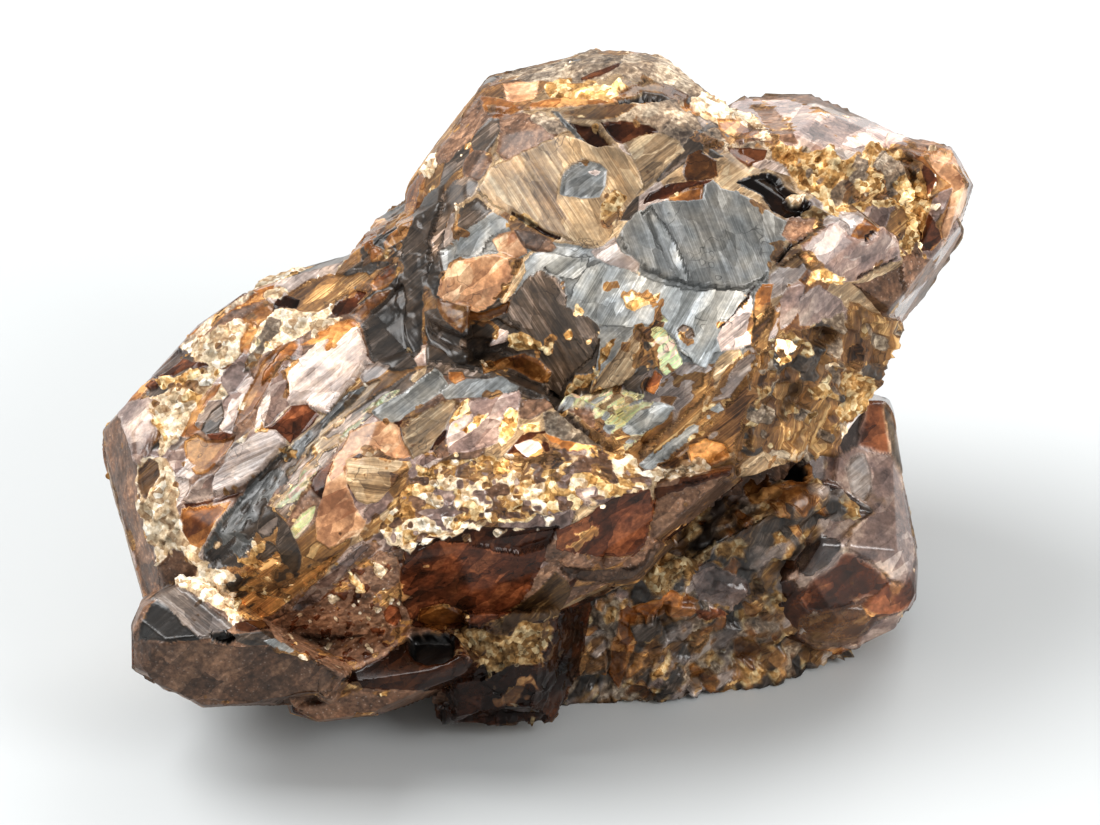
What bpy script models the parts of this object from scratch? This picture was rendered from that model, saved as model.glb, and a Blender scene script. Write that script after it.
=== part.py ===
"""Rainbow garnet specimen: intergrown andradite garnets on a lump of skarn, resting on the skarn.

The crystals are laid out in the display view, the way a collector looks at the specimen: u runs to
the right, v up the view and w towards the eye, all in millimetres. Places are pixels of the
photograph, turned into millimetres by one scale, so LENGTH drives the whole part.
"""

import math
import random

import bmesh
import bpy
from mathutils import Euler, Matrix, Vector
from mathutils.bvhtree import BVHTree

# Driving dimensions
LENGTH = 26.1  # mm, from the tip of the left crystal to the right one
TRACED_LENGTH = 870  # px, the same length in the photograph
TRACED_CENTRE = (550, 412)  # px, where u and v are zero
LOOKING_DOWN = math.radians(35)  # how steeply the display view looks down
GROUND = -9.3  # mm, height of the rest surface against the view's centre
GAP = 0.3  # mm, left between pieces that grew against each other
METRE = 0.001  # one millimetre in the file's metres
SEED = 11
MERGES = (0.008, 0.004, 0.002, 0.001, 0.0005, 0.0002)  # mm, tried in turn when slivers are taken out

MM_PER_PX = LENGTH / TRACED_LENGTH

COLOURS = {
    "garnet_cluster": (0.23, 0.12, 0.07, 1.0),
    "rear_garnet": (0.14, 0.05, 0.045, 1.0),
    "skarn_matrix": (0.28, 0.22, 0.15, 1.0),
}

# Crystals: each has a centre (x, y, depth) and facets (clock, lean, x, y, depth)
# clock is the hour a facet faces in the view, lean its degrees away from the eye, the rest a point on it
DOME = ((640, 280, -2.0), (
    (6.0, 6, 660, 320, 3.3),
    (0.6, 30, 700, 288, 3.4),
    (11.2, 30, 570, 242, 3.3),
    (9.3, 30, 515, 262, 2.9),
    (7.3, 33, 570, 305, 3.15),
    (5.2, 27, 665, 350, 3.15),
    (4.0, 30, 735, 345, 2.9),
    (2.3, 30, 782, 250, 2.5),
    (11.6, 58, 580, 120, 1.3),
    (10.4, 60, 480, 150, 1.0),
    (0.9, 60, 700, 140, 0.9),
    (9.3, 66, 452, 270, 1.7),
    (3.9, 56, 790, 370, 1.3),
    (5.7, 68, 700, 470, 1.5),
    (10.2, 88, 455, 125, -1.0),
    (11.6, 84, 550, 73, -1.0),
    (0.1, 84, 630, 64, -1.0),
    (0.9, 84, 705, 93, -1.2),
    (1.3, 90, 830, 190, -1.5),
    (3.4, 92, 893, 330, -1.5),
    (4.3, 96, 860, 425, -1.0),
    (5.8, 100, 780, 470, 0.3),
    (6.9, 95, 560, 480, 0.0),
    (9.1, 95, 398, 280, -1.0),
    (11.0, 140, 560, 90, -6.0),
    (1.5, 135, 760, 190, -6.0),
    (3.8, 130, 850, 350, -5.5),
    (7.5, 128, 500, 400, -5.0),
    (9.8, 135, 430, 230, -5.0),
    (6.0, 165, 640, 330, -6.5),
))

CREST = ((810, 175, -3.5), (
    (1.0, 28, 800, 190, 0.6),
    (2.6, 45, 880, 215, -0.6),
    (0.9, 74, 860, 135, -3.0),
    (11.9, 80, 790, 110, -4.0),
    (0.8, 84, 890, 138, -4.0),
    (2.2, 88, 950, 200, -3.0),
    (4.2, 84, 916, 285, -2.5),
    (6.5, 70, 830, 300, -1.0),
    (9.5, 60, 700, 160, -1.5),
    (10.6, 85, 725, 118, -4.0),
    (12.0, 140, 810, 120, -8.0),
    (2.5, 125, 900, 190, -7.5),
    (6.0, 150, 800, 230, -8.5),
    (9.5, 125, 730, 190, -7.5),
))

END = ((935, 205, -3.2), (
    (1.5, 30, 945, 190, -1.7),
    (9.0, 35, 930, 200, -1.5),
    (4.4, 38, 945, 230, -1.8),
    (0.5, 75, 940, 149, -3.0),
    (2.0, 84, 966, 172, -3.0),
    (3.7, 82, 966, 200, -3.0),
    (4.3, 84, 947, 240, -3.0),
    (6.5, 80, 915, 298, -3.0),
    (9.0, 85, 890, 210, -3.0),
    (12.0, 130, 935, 180, -5.2),
    (3.0, 130, 940, 210, -5.2),
    (7.0, 140, 930, 230, -5.4),
))

LEFT = ((240, 440, -1.5), (
    (10.6, 22, 250, 440, 1.2),
    (8.3, 30, 190, 520, 1.4),
    (11.6, 40, 290, 350, 0.6),
    (9.0, 66, 128, 430, -0.3),
    (8.5, 68, 150, 520, 0.8),
    (10.4, 64, 178, 372, -0.4),
    (8.9, 88, 104, 455, -1.4),
    (8.5, 88, 122, 520, -1.0),
    (8.0, 84, 142, 590, 0.5),
    (10.4, 88, 150, 378, -1.6),
    (10.9, 88, 215, 314, -1.8),
    (11.4, 84, 330, 262, -2.2),
    (2.8, 70, 430, 330, -0.5),
    (4.6, 75, 330, 520, 0.0),
    (6.2, 80, 220, 625, 1.0),
    (10.5, 135, 170, 400, -4.6),
    (8.0, 130, 150, 520, -4.2),
    (0.0, 132, 300, 330, -5.6),
    (4.5, 140, 300, 480, -5.2),
))

SPINE = ((395, 260, -2.0), (
    (9.8, 38, 400, 260, 0.2),
    (11.0, 60, 420, 190, -0.3),
    (10.4, 80, 374, 215, -1.8),
    (10.9, 82, 330, 262, -2.0),
    (11.6, 84, 410, 180, -1.8),
    (10.3, 88, 424, 165, -1.6),
    (8.0, 70, 362, 345, 0.0),
    (6.0, 70, 410, 385, 0.5),
    (3.0, 80, 480, 270, 0.0),
    (12.0, 130, 410, 200, -4.5),
    (9.5, 130, 360, 290, -4.6),
    (6.0, 140, 410, 330, -4.8),
))

LOWER = ((430, 500, 0.5), (
    (11.8, 22, 470, 455, 3.4),
    (6.3, 8, 500, 500, 3.6),
    (10.4, 42, 300, 470, 2.2),
    (9.6, 24, 345, 500, 3.3),
    (8.3, 27, 330, 560, 3.2),
    (1.4, 40, 600, 440, 2.9),
    (7.3, 38, 365, 575, 3.3),
    (6.1, 55, 400, 575, 3.3),
    (5.8, 50, 480, 540, 3.5),
    (5.0, 52, 600, 512, 3.3),
    (10.3, 84, 235, 500, 0.8),
    (11.3, 80, 370, 362, 0.8),
    (0.7, 80, 560, 392, 1.0),
    (1.7, 84, 650, 440, 1.0),
    (3.3, 84, 657, 500, 1.4),
    (5.1, 84, 600, 585, 1.6),
    (5.9, 86, 500, 626, 1.6),
    (6.5, 82, 370, 664, 1.0),
    (8.2, 80, 245, 610, 1.8),
    (9.4, 86, 202, 552, 1.2),
    (6.0, 128, 480, 626, 0.2),
    (3.5, 130, 620, 510, -1.2),
    (8.6, 130, 260, 570, 0.0),
    (11.0, 140, 380, 420, -3.0),
    (6.0, 172, 450, 500, -3.2),
))

SHELF = ((690, 505, 0.6), (
    (5.0, 14, 690, 500, 2.0),
    (3.0, 80, 735, 490, 1.0),
    (11.7, 80, 690, 470, 1.0),
    (5.0, 82, 700, 520, 1.2),
    (4.7, 80, 650, 545, 1.2),
    (9.0, 80, 600, 510, 1.0),
    (5.0, 150, 690, 510, -0.4),
))

RIMMED = ((600, 560, 0.4), (
    (5.6, 20, 600, 562, 1.7),
    (4.4, 80, 652, 558, 1.0),
    (5.7, 82, 600, 583, 1.2),
    (1.5, 80, 640, 520, 1.0),
    (9.0, 80, 540, 550, 1.0),
    (11.5, 80, 590, 500, 1.0),
    (5.5, 150, 600, 560, -0.6),
))

CORNER = ((235, 645, 1.2), (
    (6.4, 38, 240, 655, 3.2),
    (11.4, 48, 190, 620, 2.9),
    (8.9, 50, 150, 640, 2.6),
    (0.8, 38, 270, 625, 3.2),
    (4.4, 50, 325, 665, 3.3),
    (11.0, 84, 165, 592, 1.4),
    (1.0, 82, 250, 612, 1.6),
    (2.3, 80, 345, 655, 1.6),
    (4.4, 84, 340, 690, 1.8),
    (5.9, 86, 260, 702, 1.8),
    (7.0, 86, 165, 684, 1.4),
    (8.9, 88, 134, 645, 1.2),
    (9.8, 86, 142, 607, 1.2),
    (6.3, 128, 240, 690, 0.2),
    (9.0, 130, 145, 640, -0.4),
    (3.5, 140, 320, 660, -0.6),
    (0.0, 150, 240, 620, -2.2),
))

KEEL = ((380, 680, 0.0), (
    (6.5, 40, 390, 690, 1.4),
    (11.0, 40, 400, 660, 1.5),
    (5.4, 60, 440, 695, 0.9),
    (8.6, 84, 292, 705, 0.4),
    (6.6, 86, 325, 722, 0.5),
    (5.3, 84, 354, 720, 0.4),
    (5.9, 86, 400, 713, 0.2),
    (4.4, 80, 462, 690, 0.0),
    (1.5, 80, 470, 640, 0.0),
    (12.0, 80, 390, 620, 0.0),
    (6.0, 135, 380, 700, -1.4),
    (11.5, 140, 380, 640, -2.6),
))

BELLY = ((500, 660, -1.2), (
    (6.3, 30, 500, 680, 0.4),
    (8.8, 70, 452, 680, -0.4),
    (5.9, 78, 500, 716, -0.6),
    (3.6, 70, 548, 690, -0.6),
    (0.0, 80, 500, 600, -0.6),
    (6.0, 140, 500, 700, -2.4),
    (12.0, 150, 500, 640, -3.6),
))

BACK = ((620, 330, -7.0), (
    (12.0, 100, 620, 150, -7.0),
    (2.0, 105, 800, 230, -7.0),
    (4.2, 105, 800, 400, -6.5),
    (6.0, 95, 600, 520, -6.0),
    (8.0, 105, 440, 420, -6.0),
    (10.0, 105, 440, 240, -6.5),
    (12.0, 140, 600, 230, -10.3),
    (3.0, 145, 740, 300, -10.2),
    (6.0, 150, 620, 420, -10.0),
    (9.5, 145, 500, 320, -9.8),
    (12.0, 0, 620, 330, -2.4),
))

REAR = ((825, 545, -5.8), (
    (1.6, 34, 850, 500, -3.3),
    (9.6, 38, 790, 520, -3.2),
    (4.4, 30, 860, 565, -3.0),
    (6.6, 42, 810, 600, -3.1),
    (2.6, 66, 900, 500, -4.2),
    (5.4, 62, 850, 630, -4.0),
    (2.7, 88, 906, 470, -5.6),
    (2.2, 86, 890, 400, -5.6),
    (3.1, 88, 921, 560, -5.6),
    (4.0, 86, 912, 612, -5.6),
    (5.3, 84, 850, 656, -5.4),
    (6.6, 82, 780, 640, -5.2),
    (9.0, 84, 735, 520, -5.6),
    (0.0, 86, 820, 400, -6.0),
    (2.5, 125, 890, 500, -8.4),
    (5.0, 120, 860, 600, -7.4),
    (12.0, 140, 820, 440, -9.6),
    (8.0, 140, 760, 540, -8.8),
))

MATRIX = ((620, 600, -5.0), (
    (6.2, 34, 660, 640, -2.2),
    (7.8, 46, 580, 660, -2.4),
    (4.6, 40, 740, 610, -2.8),
    (11.5, 40, 640, 540, -1.8),
    (8.9, 80, 545, 680, -3.0),
    (3.2, 84, 860, 600, -7.0),
    (1.5, 84, 820, 450, -7.5),
    (12.0, 88, 640, 330, -9.0),
    (10.0, 96, 420, 420, -8.0),
    (8.4, 100, 350, 560, -8.0),
    (12.0, 150, 600, 380, -13.4),
    (2.5, 140, 800, 440, -12.0),
    (9.0, 140, 420, 470, -12.0),
))

MATRIX_FOOT = ((450, 560, -8.0), (
    (9.2, 88, 345, 560, -8.0),
    (3.0, 90, 640, 560, -8.0),
    (6.4, 62, 420, 610, -6.2),
    (11.0, 60, 420, 470, -5.5),
    (9.0, 140, 380, 500, -11.5),
    (12.0, 150, 480, 440, -12.5),
))

# Hidden crystals: whole dodecahedra that stand out at the back, as (x, y, depth), reach in mm and turn in degrees
HIDDEN_CRYSTALS = (
    ((565, 215, -8.0), 3.3, (20, 35, 10)),
    ((735, 300, -8.6), 2.9, (50, 10, 40)),
    ((430, 330, -6.2), 2.7, (5, 60, 25)),
    ((640, 400, -9.4), 2.5, (70, 20, 60)),
)

# Grains: outlines of the crumbly places, with how many lumps, their sizes in mm and how proud they stand
CRUMBLY = (
    (((385, 522), (425, 466), (480, 460), (558, 458), (600, 450), (650, 480), (606, 496), (560, 515),
      (462, 520), (425, 534)), 34, (0.5, 1.05), 0.10),
    (((780, 150), (830, 158), (880, 145), (915, 165), (905, 215), (850, 225), (800, 215)), 15, (0.5, 1.0), 0.12),
    (((560, 66), (640, 62), (690, 84), (750, 132), (700, 128), (640, 96), (560, 94)), 12, (0.45, 0.9), 0.05),
    (((150, 470), (170, 400), (215, 345), (250, 340), (215, 420), (180, 480), (185, 560), (230, 600),
      (190, 600), (160, 550)), 14, (0.5, 1.0), 0.05),
    (((465, 600), (555, 580), (565, 610), (545, 660), (470, 665)), 8, (0.6, 1.1), 0.15),
    (((840, 350), (885, 345), (880, 400), (840, 440), (815, 400)), 7, (0.6, 1.1), 0.08),
    (((302, 290), (360, 245), (398, 198), (422, 186), (425, 215), (396, 262), (340, 302)), 11, (0.5, 1.0), 0.05),
    (((420, 152), (434, 148), (434, 172), (424, 174)), 1, (0.9, 1.0), 0.10),
    (((655, 470), (700, 440), (730, 450), (700, 474)), 5, (0.5, 0.8), 0.04),
)
MATRIX_GRAINS = (((548, 560), (640, 530), (760, 560), (800, 640), (700, 690), (560, 718)), 26, (0.8, 1.7), 0.15)
MATRIX_PITS = (((580, 600), (760, 560), (790, 640), (620, 690)), 7, (0.7, 1.2))
MATRIX_LUMPS = (34, (1.2, 2.6))  # how many lumps cover its hidden sides, and their sizes in mm

# Plates: thin growth layers that stand proud of a face: outline, how high its far and near edges stand
PLATES = (
    (((478, 190), (490, 170), (520, 155), (560, 137), (618, 150), (640, 200), (600, 243), (545, 233)), 0.10),
    (((628, 243), (660, 202), (712, 184), (755, 200), (788, 224), (775, 262), (740, 288), (668, 283)), 0.14),
    (((562, 258), (622, 254), (668, 290), (750, 288), (735, 345), (690, 360), (650, 325), (575, 305)), 0.08),
    (((440, 275), (455, 258), (500, 253), (525, 262), (495, 300), (480, 310), (440, 297)), 0.16),
    (((590, 385), (640, 332), (645, 360), (625, 380)), 0.14),
    (((562, 402), (620, 392), (678, 402), (650, 434), (620, 453), (592, 416)), 0.14),
    (((285, 370), (325, 342), (357, 333), (369, 362), (325, 413), (290, 404)), 0.22),
    (((212, 482), (245, 440), (280, 432), (286, 446), (245, 484), (214, 496)), 0.25),
    (((347, 460), (405, 456), (386, 488), (364, 503), (351, 490)), 0.12),
    (((120, 408), (158, 400), (154, 440), (141, 462)), 0.16),
    (((655, 392), (742, 352), (750, 372), (662, 422)), 0.12),
    (((660, 430), (735, 392), (735, 412), (668, 452)), 0.14),
    (((440, 402), (505, 386), (545, 398), (520, 440), (460, 432)), 0.10),
    (((655, 238), (690, 232), (700, 262), (668, 268)), 0.06),
    (((800, 230), (842, 224), (888, 240), (850, 262), (806, 262)), 0.14),
)

# Hollows: outlines of the places cut into the surface, and how deep
HOLLOWS = (
    (((738, 180), (766, 171), (786, 186), (806, 202), (808, 214), (785, 217), (764, 205)), 1.1),
    (((576, 126), (610, 121), (645, 118), (643, 138), (606, 147), (578, 144)), 0.45),
    (((620, 96), (655, 95), (654, 102), (622, 103)), 0.6),
    (((450, 340), (480, 332), (525, 352), (548, 372), (520, 372), (470, 356)), 0.5),
    (((205, 630), (235, 633), (240, 645), (210, 643)), 0.5),
    (((410, 634), (452, 630), (448, 662), (420, 664)), 1.2),
    (((398, 205), (412, 200), (408, 300), (396, 360), (388, 350), (394, 280)), 0.5),
)

# Fibrous layers of the right side: each is a thin slab between two lines across the face
LAYERS = (
    ((752, 340), (868, 318), 0.55),
    ((742, 385), (862, 372), 0.75),
    ((736, 425), (842, 415), 0.55),
    ((728, 455), (822, 446), 0.85),
)


def traced(x, y):
    """A pixel of the photograph as (u, v) in millimetres."""
    return (x - TRACED_CENTRE[0]) * MM_PER_PX, (TRACED_CENTRE[1] - y) * MM_PER_PX


def point(x, y, depth):
    """The point depth mm towards the eye at a pixel."""
    return Vector((*traced(x, y), depth))


def facing(clock, lean):
    """The unit vector a facet faces, from its hour and its lean away from the eye."""
    turn, tilt = math.radians(clock * 30), math.radians(lean)
    return Vector((math.sin(tilt) * math.sin(turn), math.sin(tilt) * math.cos(turn), math.cos(tilt)))


def view_to_part():
    """The matrix from (u, v, w) to the part's own directions, +Z up, still in millimetres."""
    s, c = math.sin(LOOKING_DOWN), math.cos(LOOKING_DOWN)
    return Matrix(((1, 0, 0, 0), (0, s, -c, 0), (0, c, s, -GROUND), (0, 0, 0, 1)))


def cut_solid(centre, planes):
    """A closed convex mesh: a big cube at the centre, cut by each (point, normal)."""
    bm = bmesh.new()
    bmesh.ops.create_cube(bm, size=50.0, matrix=Matrix.Translation(centre))
    for place, normal in planes:
        geom = bm.verts[:] + bm.edges[:] + bm.faces[:]
        cut = bmesh.ops.bisect_plane(
            bm, geom=geom, dist=1e-6, plane_co=place, plane_no=normal, clear_outer=True)
        edges = [e for e in cut["geom_cut"] if isinstance(e, bmesh.types.BMEdge)]
        if edges:
            bmesh.ops.holes_fill(bm, edges=edges)
    bmesh.ops.remove_doubles(bm, verts=bm.verts, dist=0.03)
    bmesh.ops.recalc_face_normals(bm, faces=bm.faces)
    return bm


def crystal(spec, grown=0.0):
    """A crystal's closed mesh, with every facet moved out by grown."""
    centre, facets = spec
    planes = []
    for clock, lean, x, y, depth in facets:
        normal = facing(clock, lean)
        planes.append((point(x, y, depth) + grown * normal, normal))
    return cut_solid(point(*centre), planes)


def dodecahedron(spec):
    """A whole garnet: a rhombic dodecahedron from its centre, the reach of its faces and its turn."""
    place, reach, turn = spec
    centre = point(*place)
    spin = Euler([math.radians(angle) for angle in turn]).to_matrix()
    ways = [Vector(way) for way in ((1, 1, 0), (1, -1, 0), (1, 0, 1), (1, 0, -1), (0, 1, 1), (0, 1, -1))]
    normals = [spin @ (way * side).normalized() for way in ways for side in (1, -1)]
    return cut_solid(centre, [(centre + normal * reach, normal) for normal in normals])


def prism(outline, low, high):
    """A closed prism: the outline's pixels, from one height along w to another, as a mesh."""
    bm = bmesh.new()
    rings = [[bm.verts.new((*traced(x, y), w)) for x, y in outline] for w in (low, high)]
    bm.faces.new(rings[0])
    bm.faces.new(rings[1])
    for i in range(len(outline)):
        j = (i + 1) % len(outline)
        bm.faces.new((rings[0][i], rings[0][j], rings[1][j], rings[1][i]))
    bmesh.ops.recalc_face_normals(bm, faces=bm.faces)
    return bm


def grain(place, size, rng):
    """A small broken lump: a cube cut by seven planes, with its own turn."""
    planes = []
    for i in range(9):
        normal = facing(rng.uniform(0, 12), math.degrees(math.acos(rng.uniform(-1, 1))))
        planes.append((place + normal * size * rng.uniform(0.34, 0.52), normal))
    turn = Matrix.Rotation(rng.uniform(0, 6.28), 4, Vector((rng.random(), rng.random(), 1)).normalized())
    for axis in (Vector((1, 0, 0)), Vector((0, 1, 0)), Vector((0, 0, 1))):
        way = turn @ axis
        planes.append((place + way * size * 0.5, way))
        planes.append((place - way * size * 0.5, -way))
    return cut_solid(place, planes)


def inside(outline, x, y):
    """Whether a pixel lies inside an outline."""
    hit = False
    for (x0, y0), (x1, y1) in zip(outline, outline[1:] + outline[:1]):
        if (y0 > y) != (y1 > y) and x < x0 + (y - y0) * (x1 - x0) / (y1 - y0):
            hit = not hit
    return hit


def spots(outline, count, rng):
    """Seeded pixels inside an outline, kept apart from each other."""
    xs, ys = [p[0] for p in outline], [p[1] for p in outline]
    area = (max(xs) - min(xs)) * (max(ys) - min(ys))
    apart = 0.55 * math.sqrt(area / count)
    found = []
    for attempt in range(4000):
        x, y = rng.uniform(min(xs), max(xs)), rng.uniform(min(ys), max(ys))
        if inside(outline, x, y) and all(math.dist((x, y), p) > apart for p in found):
            found.append((x, y))
        if len(found) == count:
            break
    return found


def surface_at(tree, x, y):
    """Where the view's line of sight at a pixel first meets a surface, and its normal there."""
    hit, normal, index, distance = tree.ray_cast(point(x, y, 30.0), Vector((0, 0, -1)))
    return hit, normal


def linked(bm, name):
    """A scene object made of a mesh, which is used up."""
    mesh = bpy.data.meshes.new(name)
    bm.to_mesh(mesh)
    bm.free()
    item = bpy.data.objects.new(name, mesh)
    bpy.context.scene.collection.objects.link(item)
    return item


def combined(base, others, operation):
    """A mesh after one exact Boolean with a list of other meshes."""
    target = linked(base, "base")
    group = bpy.data.collections.new("operands")
    items = [linked(bm, "operand") for bm in others]
    for item in items:
        group.objects.link(item)
    cut = target.modifiers.new("combine", "BOOLEAN")
    cut.operation = operation
    cut.solver = "EXACT"
    cut.operand_type = "COLLECTION"
    cut.collection = group
    bpy.context.view_layer.update()
    shown = target.evaluated_get(bpy.context.evaluated_depsgraph_get())
    bm = bmesh.new()
    bm.from_mesh(shown.to_mesh())
    shown.to_mesh_clear()
    for item in items + [target]:
        bpy.data.objects.remove(item)
    bpy.data.collections.remove(group)
    return bm


def tidied(bm):
    """The same solid with its slivers and needless edges out, as far as it stays closed."""
    for merge in MERGES:
        tried = bm.copy()
        bmesh.ops.remove_doubles(tried, verts=tried.verts, dist=merge)
        bmesh.ops.dissolve_degenerate(tried, edges=tried.edges, dist=merge)
        bmesh.ops.dissolve_limit(
            tried, angle_limit=math.radians(0.5), verts=tried.verts, edges=tried.edges)
        bmesh.ops.triangulate(tried, faces=tried.faces)
        bmesh.ops.dissolve_degenerate(tried, edges=tried.edges, dist=merge)
        bmesh.ops.triangulate(tried, faces=tried.faces)
        loose = [v for v in tried.verts if not v.link_faces]
        bmesh.ops.delete(tried, geom=loose, context="VERTS")
        if all(len(edge.link_faces) == 2 for edge in tried.edges):
            return tried
        tried.free()
    return bm


def largest(bm):
    """The mesh with only its largest connected piece."""
    left = set(bm.verts)
    pieces = []
    while left:
        stack = [left.pop()]
        piece = set(stack)
        while stack:
            for edge in stack.pop().link_edges:
                for vert in edge.verts:
                    if vert in left:
                        left.discard(vert)
                        piece.add(vert)
                        stack.append(vert)
        pieces.append(piece)
    pieces.sort(key=len, reverse=True)
    for piece in pieces[1:]:
        bmesh.ops.delete(bm, geom=list(piece), context="VERTS")
    return bm


def tree_of(bm):
    """A search tree of a mesh, for lines of sight."""
    return BVHTree.FromBMesh(bm)


def grains_on(tree, outline, count, sizes, proud, rng):
    """Lumps half sunk into the surface seen inside an outline."""
    lumps = []
    for x, y in spots(outline, count, rng):
        hit, normal = surface_at(tree, x, y)
        if hit is not None:
            lumps.append(grain(hit + normal * proud, rng.uniform(*sizes), rng))
    return lumps


def lumps_over(bm, count, sizes, rng):
    """Lumps half sunk anywhere into a mesh, each face taking its share by area."""
    faces = [face for face in bm.faces if (view_to_part() @ face.calc_center_median()).z > 1.0]
    weights = [face.calc_area() for face in faces]
    lumps = []
    for face in rng.choices(faces, weights, k=count):
        corner, side = face.verts[0].co, rng.randrange(1, len(face.verts) - 1)
        a, b = rng.random(), rng.random()
        if a + b > 1:
            a, b = 1 - a, 1 - b
        spot = corner + a * (face.verts[side].co - corner) + b * (face.verts[side + 1].co - corner)
        size = rng.uniform(*sizes)
        if (view_to_part() @ spot).z > 0.6 * size:
            lumps.append(grain(spot - face.normal * 0.12 * size, size, rng))
    return lumps


def plate_on(tree, outline, lift):
    """A growth layer: the outline's prism, cut by a plane lift mm above the face under it."""
    x = sum(p[0] for p in outline) / len(outline)
    y = sum(p[1] for p in outline) / len(outline)
    hit, normal = surface_at(tree, x, y)
    bm = prism(outline, hit.z - 1.6, hit.z + 3.0)
    place = hit + normal * lift
    cut = bmesh.ops.bisect_plane(
        bm, geom=bm.verts[:] + bm.edges[:] + bm.faces[:], plane_co=place, plane_no=normal, clear_outer=True)
    edges = [e for e in cut["geom_cut"] if isinstance(e, bmesh.types.BMEdge)]
    bmesh.ops.holes_fill(bm, edges=edges)
    bmesh.ops.recalc_face_normals(bm, faces=bm.faces)
    return bm


def hollow_in(tree, outline, deep):
    """A cutter: the outline's prism, from deep mm under the surface seen there to well above it."""
    x = sum(p[0] for p in outline) / len(outline)
    y = sum(p[1] for p in outline) / len(outline)
    hit, normal = surface_at(tree, x, y)
    return prism(outline, hit.z - deep, hit.z + 4.0)


def layer_on(tree, start, end, thick):
    """A fibrous layer: a slab across the right side that stands proud of it by its thickness."""
    a, normal = surface_at(tree, *start)
    b, normal_b = surface_at(tree, *end)
    along = (b - a).normalized()
    out = (normal + normal_b).normalized()
    across = along.cross(out).normalized()
    middle = (a + b) / 2
    half = (b - a).length / 2
    planes = [
        (middle + along * half, along), (middle - along * half, -along),
        (middle + across * 0.42, (across + out * 0.5).normalized()),
        (middle - across * 0.42, (-across + out * 0.3).normalized()),
        (middle + out * thick * 0.55, out), (middle - out * 1.2, -out),
    ]
    return cut_solid(middle, planes)


def garnet_cluster(rng):
    """The intergrown crystals as one solid, with their layers and crumbly places."""
    specs = (CREST, END, LEFT, SPINE, LOWER, SHELF, RIMMED, CORNER, KEEL, BELLY, BACK)
    solids = [crystal(spec) for spec in specs] + [dodecahedron(spec) for spec in HIDDEN_CRYSTALS]
    body = combined(crystal(DOME), solids, "UNION")
    tree = tree_of(body)
    body = combined(body, [hollow_in(tree, *hollow) for hollow in HOLLOWS], "DIFFERENCE")
    extra = [plate_on(tree, *plate) for plate in PLATES]
    extra += [layer_on(tree, *layer) for layer in LAYERS]
    for outline, count, sizes, proud in CRUMBLY:
        extra += grains_on(tree, outline, count, sizes, proud, rng)
    return tidied(largest(combined(body, extra, "UNION")))


def cluster_room():
    """The cluster's crystals with the gap all round them, to cut out of the pieces that grew against it."""
    specs = (DOME, CREST, LEFT, SPINE, LOWER, SHELF, RIMMED, CORNER, KEEL, BELLY, BACK)
    hidden = [(place, reach + GAP, turn) for place, reach, turn in HIDDEN_CRYSTALS]
    return [crystal(spec, GAP) for spec in specs] + [dodecahedron(spec) for spec in hidden]


def rear_garnet():
    """The glassy crystal at the back right, held off the cluster by the gap."""
    return tidied(largest(combined(crystal(REAR), cluster_room(), "DIFFERENCE")))


def skarn_matrix(rng):
    """The granular lump underneath, with its pits, cut flat where it rests."""
    body = combined(crystal(MATRIX), [crystal(MATRIX_FOOT)], "UNION")
    tree = tree_of(body)
    lumps = grains_on(tree, *MATRIX_GRAINS, rng) + lumps_over(body, *MATRIX_LUMPS, rng)
    body = combined(body, lumps, "UNION")
    outline, count, sizes = MATRIX_PITS
    pits = grains_on(tree, outline, count, sizes, 0.25, rng)
    body = combined(body, pits + cluster_room() + [crystal(REAR, GAP)], "DIFFERENCE")
    return tidied(largest(body))


def rested(bm):
    """The mesh in the part's own directions, with all below the rest surface cut off flat."""
    bm.transform(view_to_part())
    cut = bmesh.ops.bisect_plane(
        bm, geom=bm.verts[:] + bm.edges[:] + bm.faces[:], dist=1e-6,
        plane_co=Vector((0, 0, 0)), plane_no=Vector((0, 0, -1)), clear_outer=True)
    edges = [e for e in cut["geom_cut"] if isinstance(e, bmesh.types.BMEdge)]
    if edges:
        bmesh.ops.holes_fill(bm, edges=edges)
    bmesh.ops.recalc_face_normals(bm, faces=bm.faces)
    return tidied(bm)


def finished(name, bm, shift):
    """The named object in metres with its own material."""
    bm.transform(Matrix.Scale(METRE, 4) @ Matrix.Translation(shift))
    item = linked(bm, name)
    material = bpy.data.materials.new(name)
    material.use_nodes = True
    shader = material.node_tree.nodes["Principled BSDF"]
    shader.inputs["Base Color"].default_value = COLOURS[name]
    shader.inputs["Roughness"].default_value = 0.35
    item.data.materials.append(material)
    return item


def main():
    """Clear the file, then build the three pieces and set them down around the middle of their box."""
    for item in list(bpy.data.objects):
        bpy.data.objects.remove(item)
    rng = random.Random(SEED)
    pieces = {
        "garnet_cluster": rested(garnet_cluster(rng)),
        "rear_garnet": rested(rear_garnet()),
        "skarn_matrix": rested(skarn_matrix(rng)),
    }
    places = [vert.co for bm in pieces.values() for vert in bm.verts]
    xs, ys = [p.x for p in places], [p.y for p in places]
    shift = Vector((-(min(xs) + max(xs)) / 2, -(min(ys) + max(ys)) / 2, 0.0))
    for name, bm in pieces.items():
        finished(name, bm, shift)


main()
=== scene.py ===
"""A rainbow garnet specimen: intergrown andradite crystals and a rear crystal on a lump of skarn.

Every crystal is a surface of two parameters, a direction away from its centre, cut by its flat
facets. Growth patches, traced as outlines in pixels of the photograph, give each surface its ledges,
its striations and its finishes, and the hidden sides get patches of the same kind grown round seeds.
"""
import logging
import math
from dataclasses import dataclass, field
from enum import Enum

import bpy
import numpy as np
from mathutils import Matrix, Vector


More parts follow.
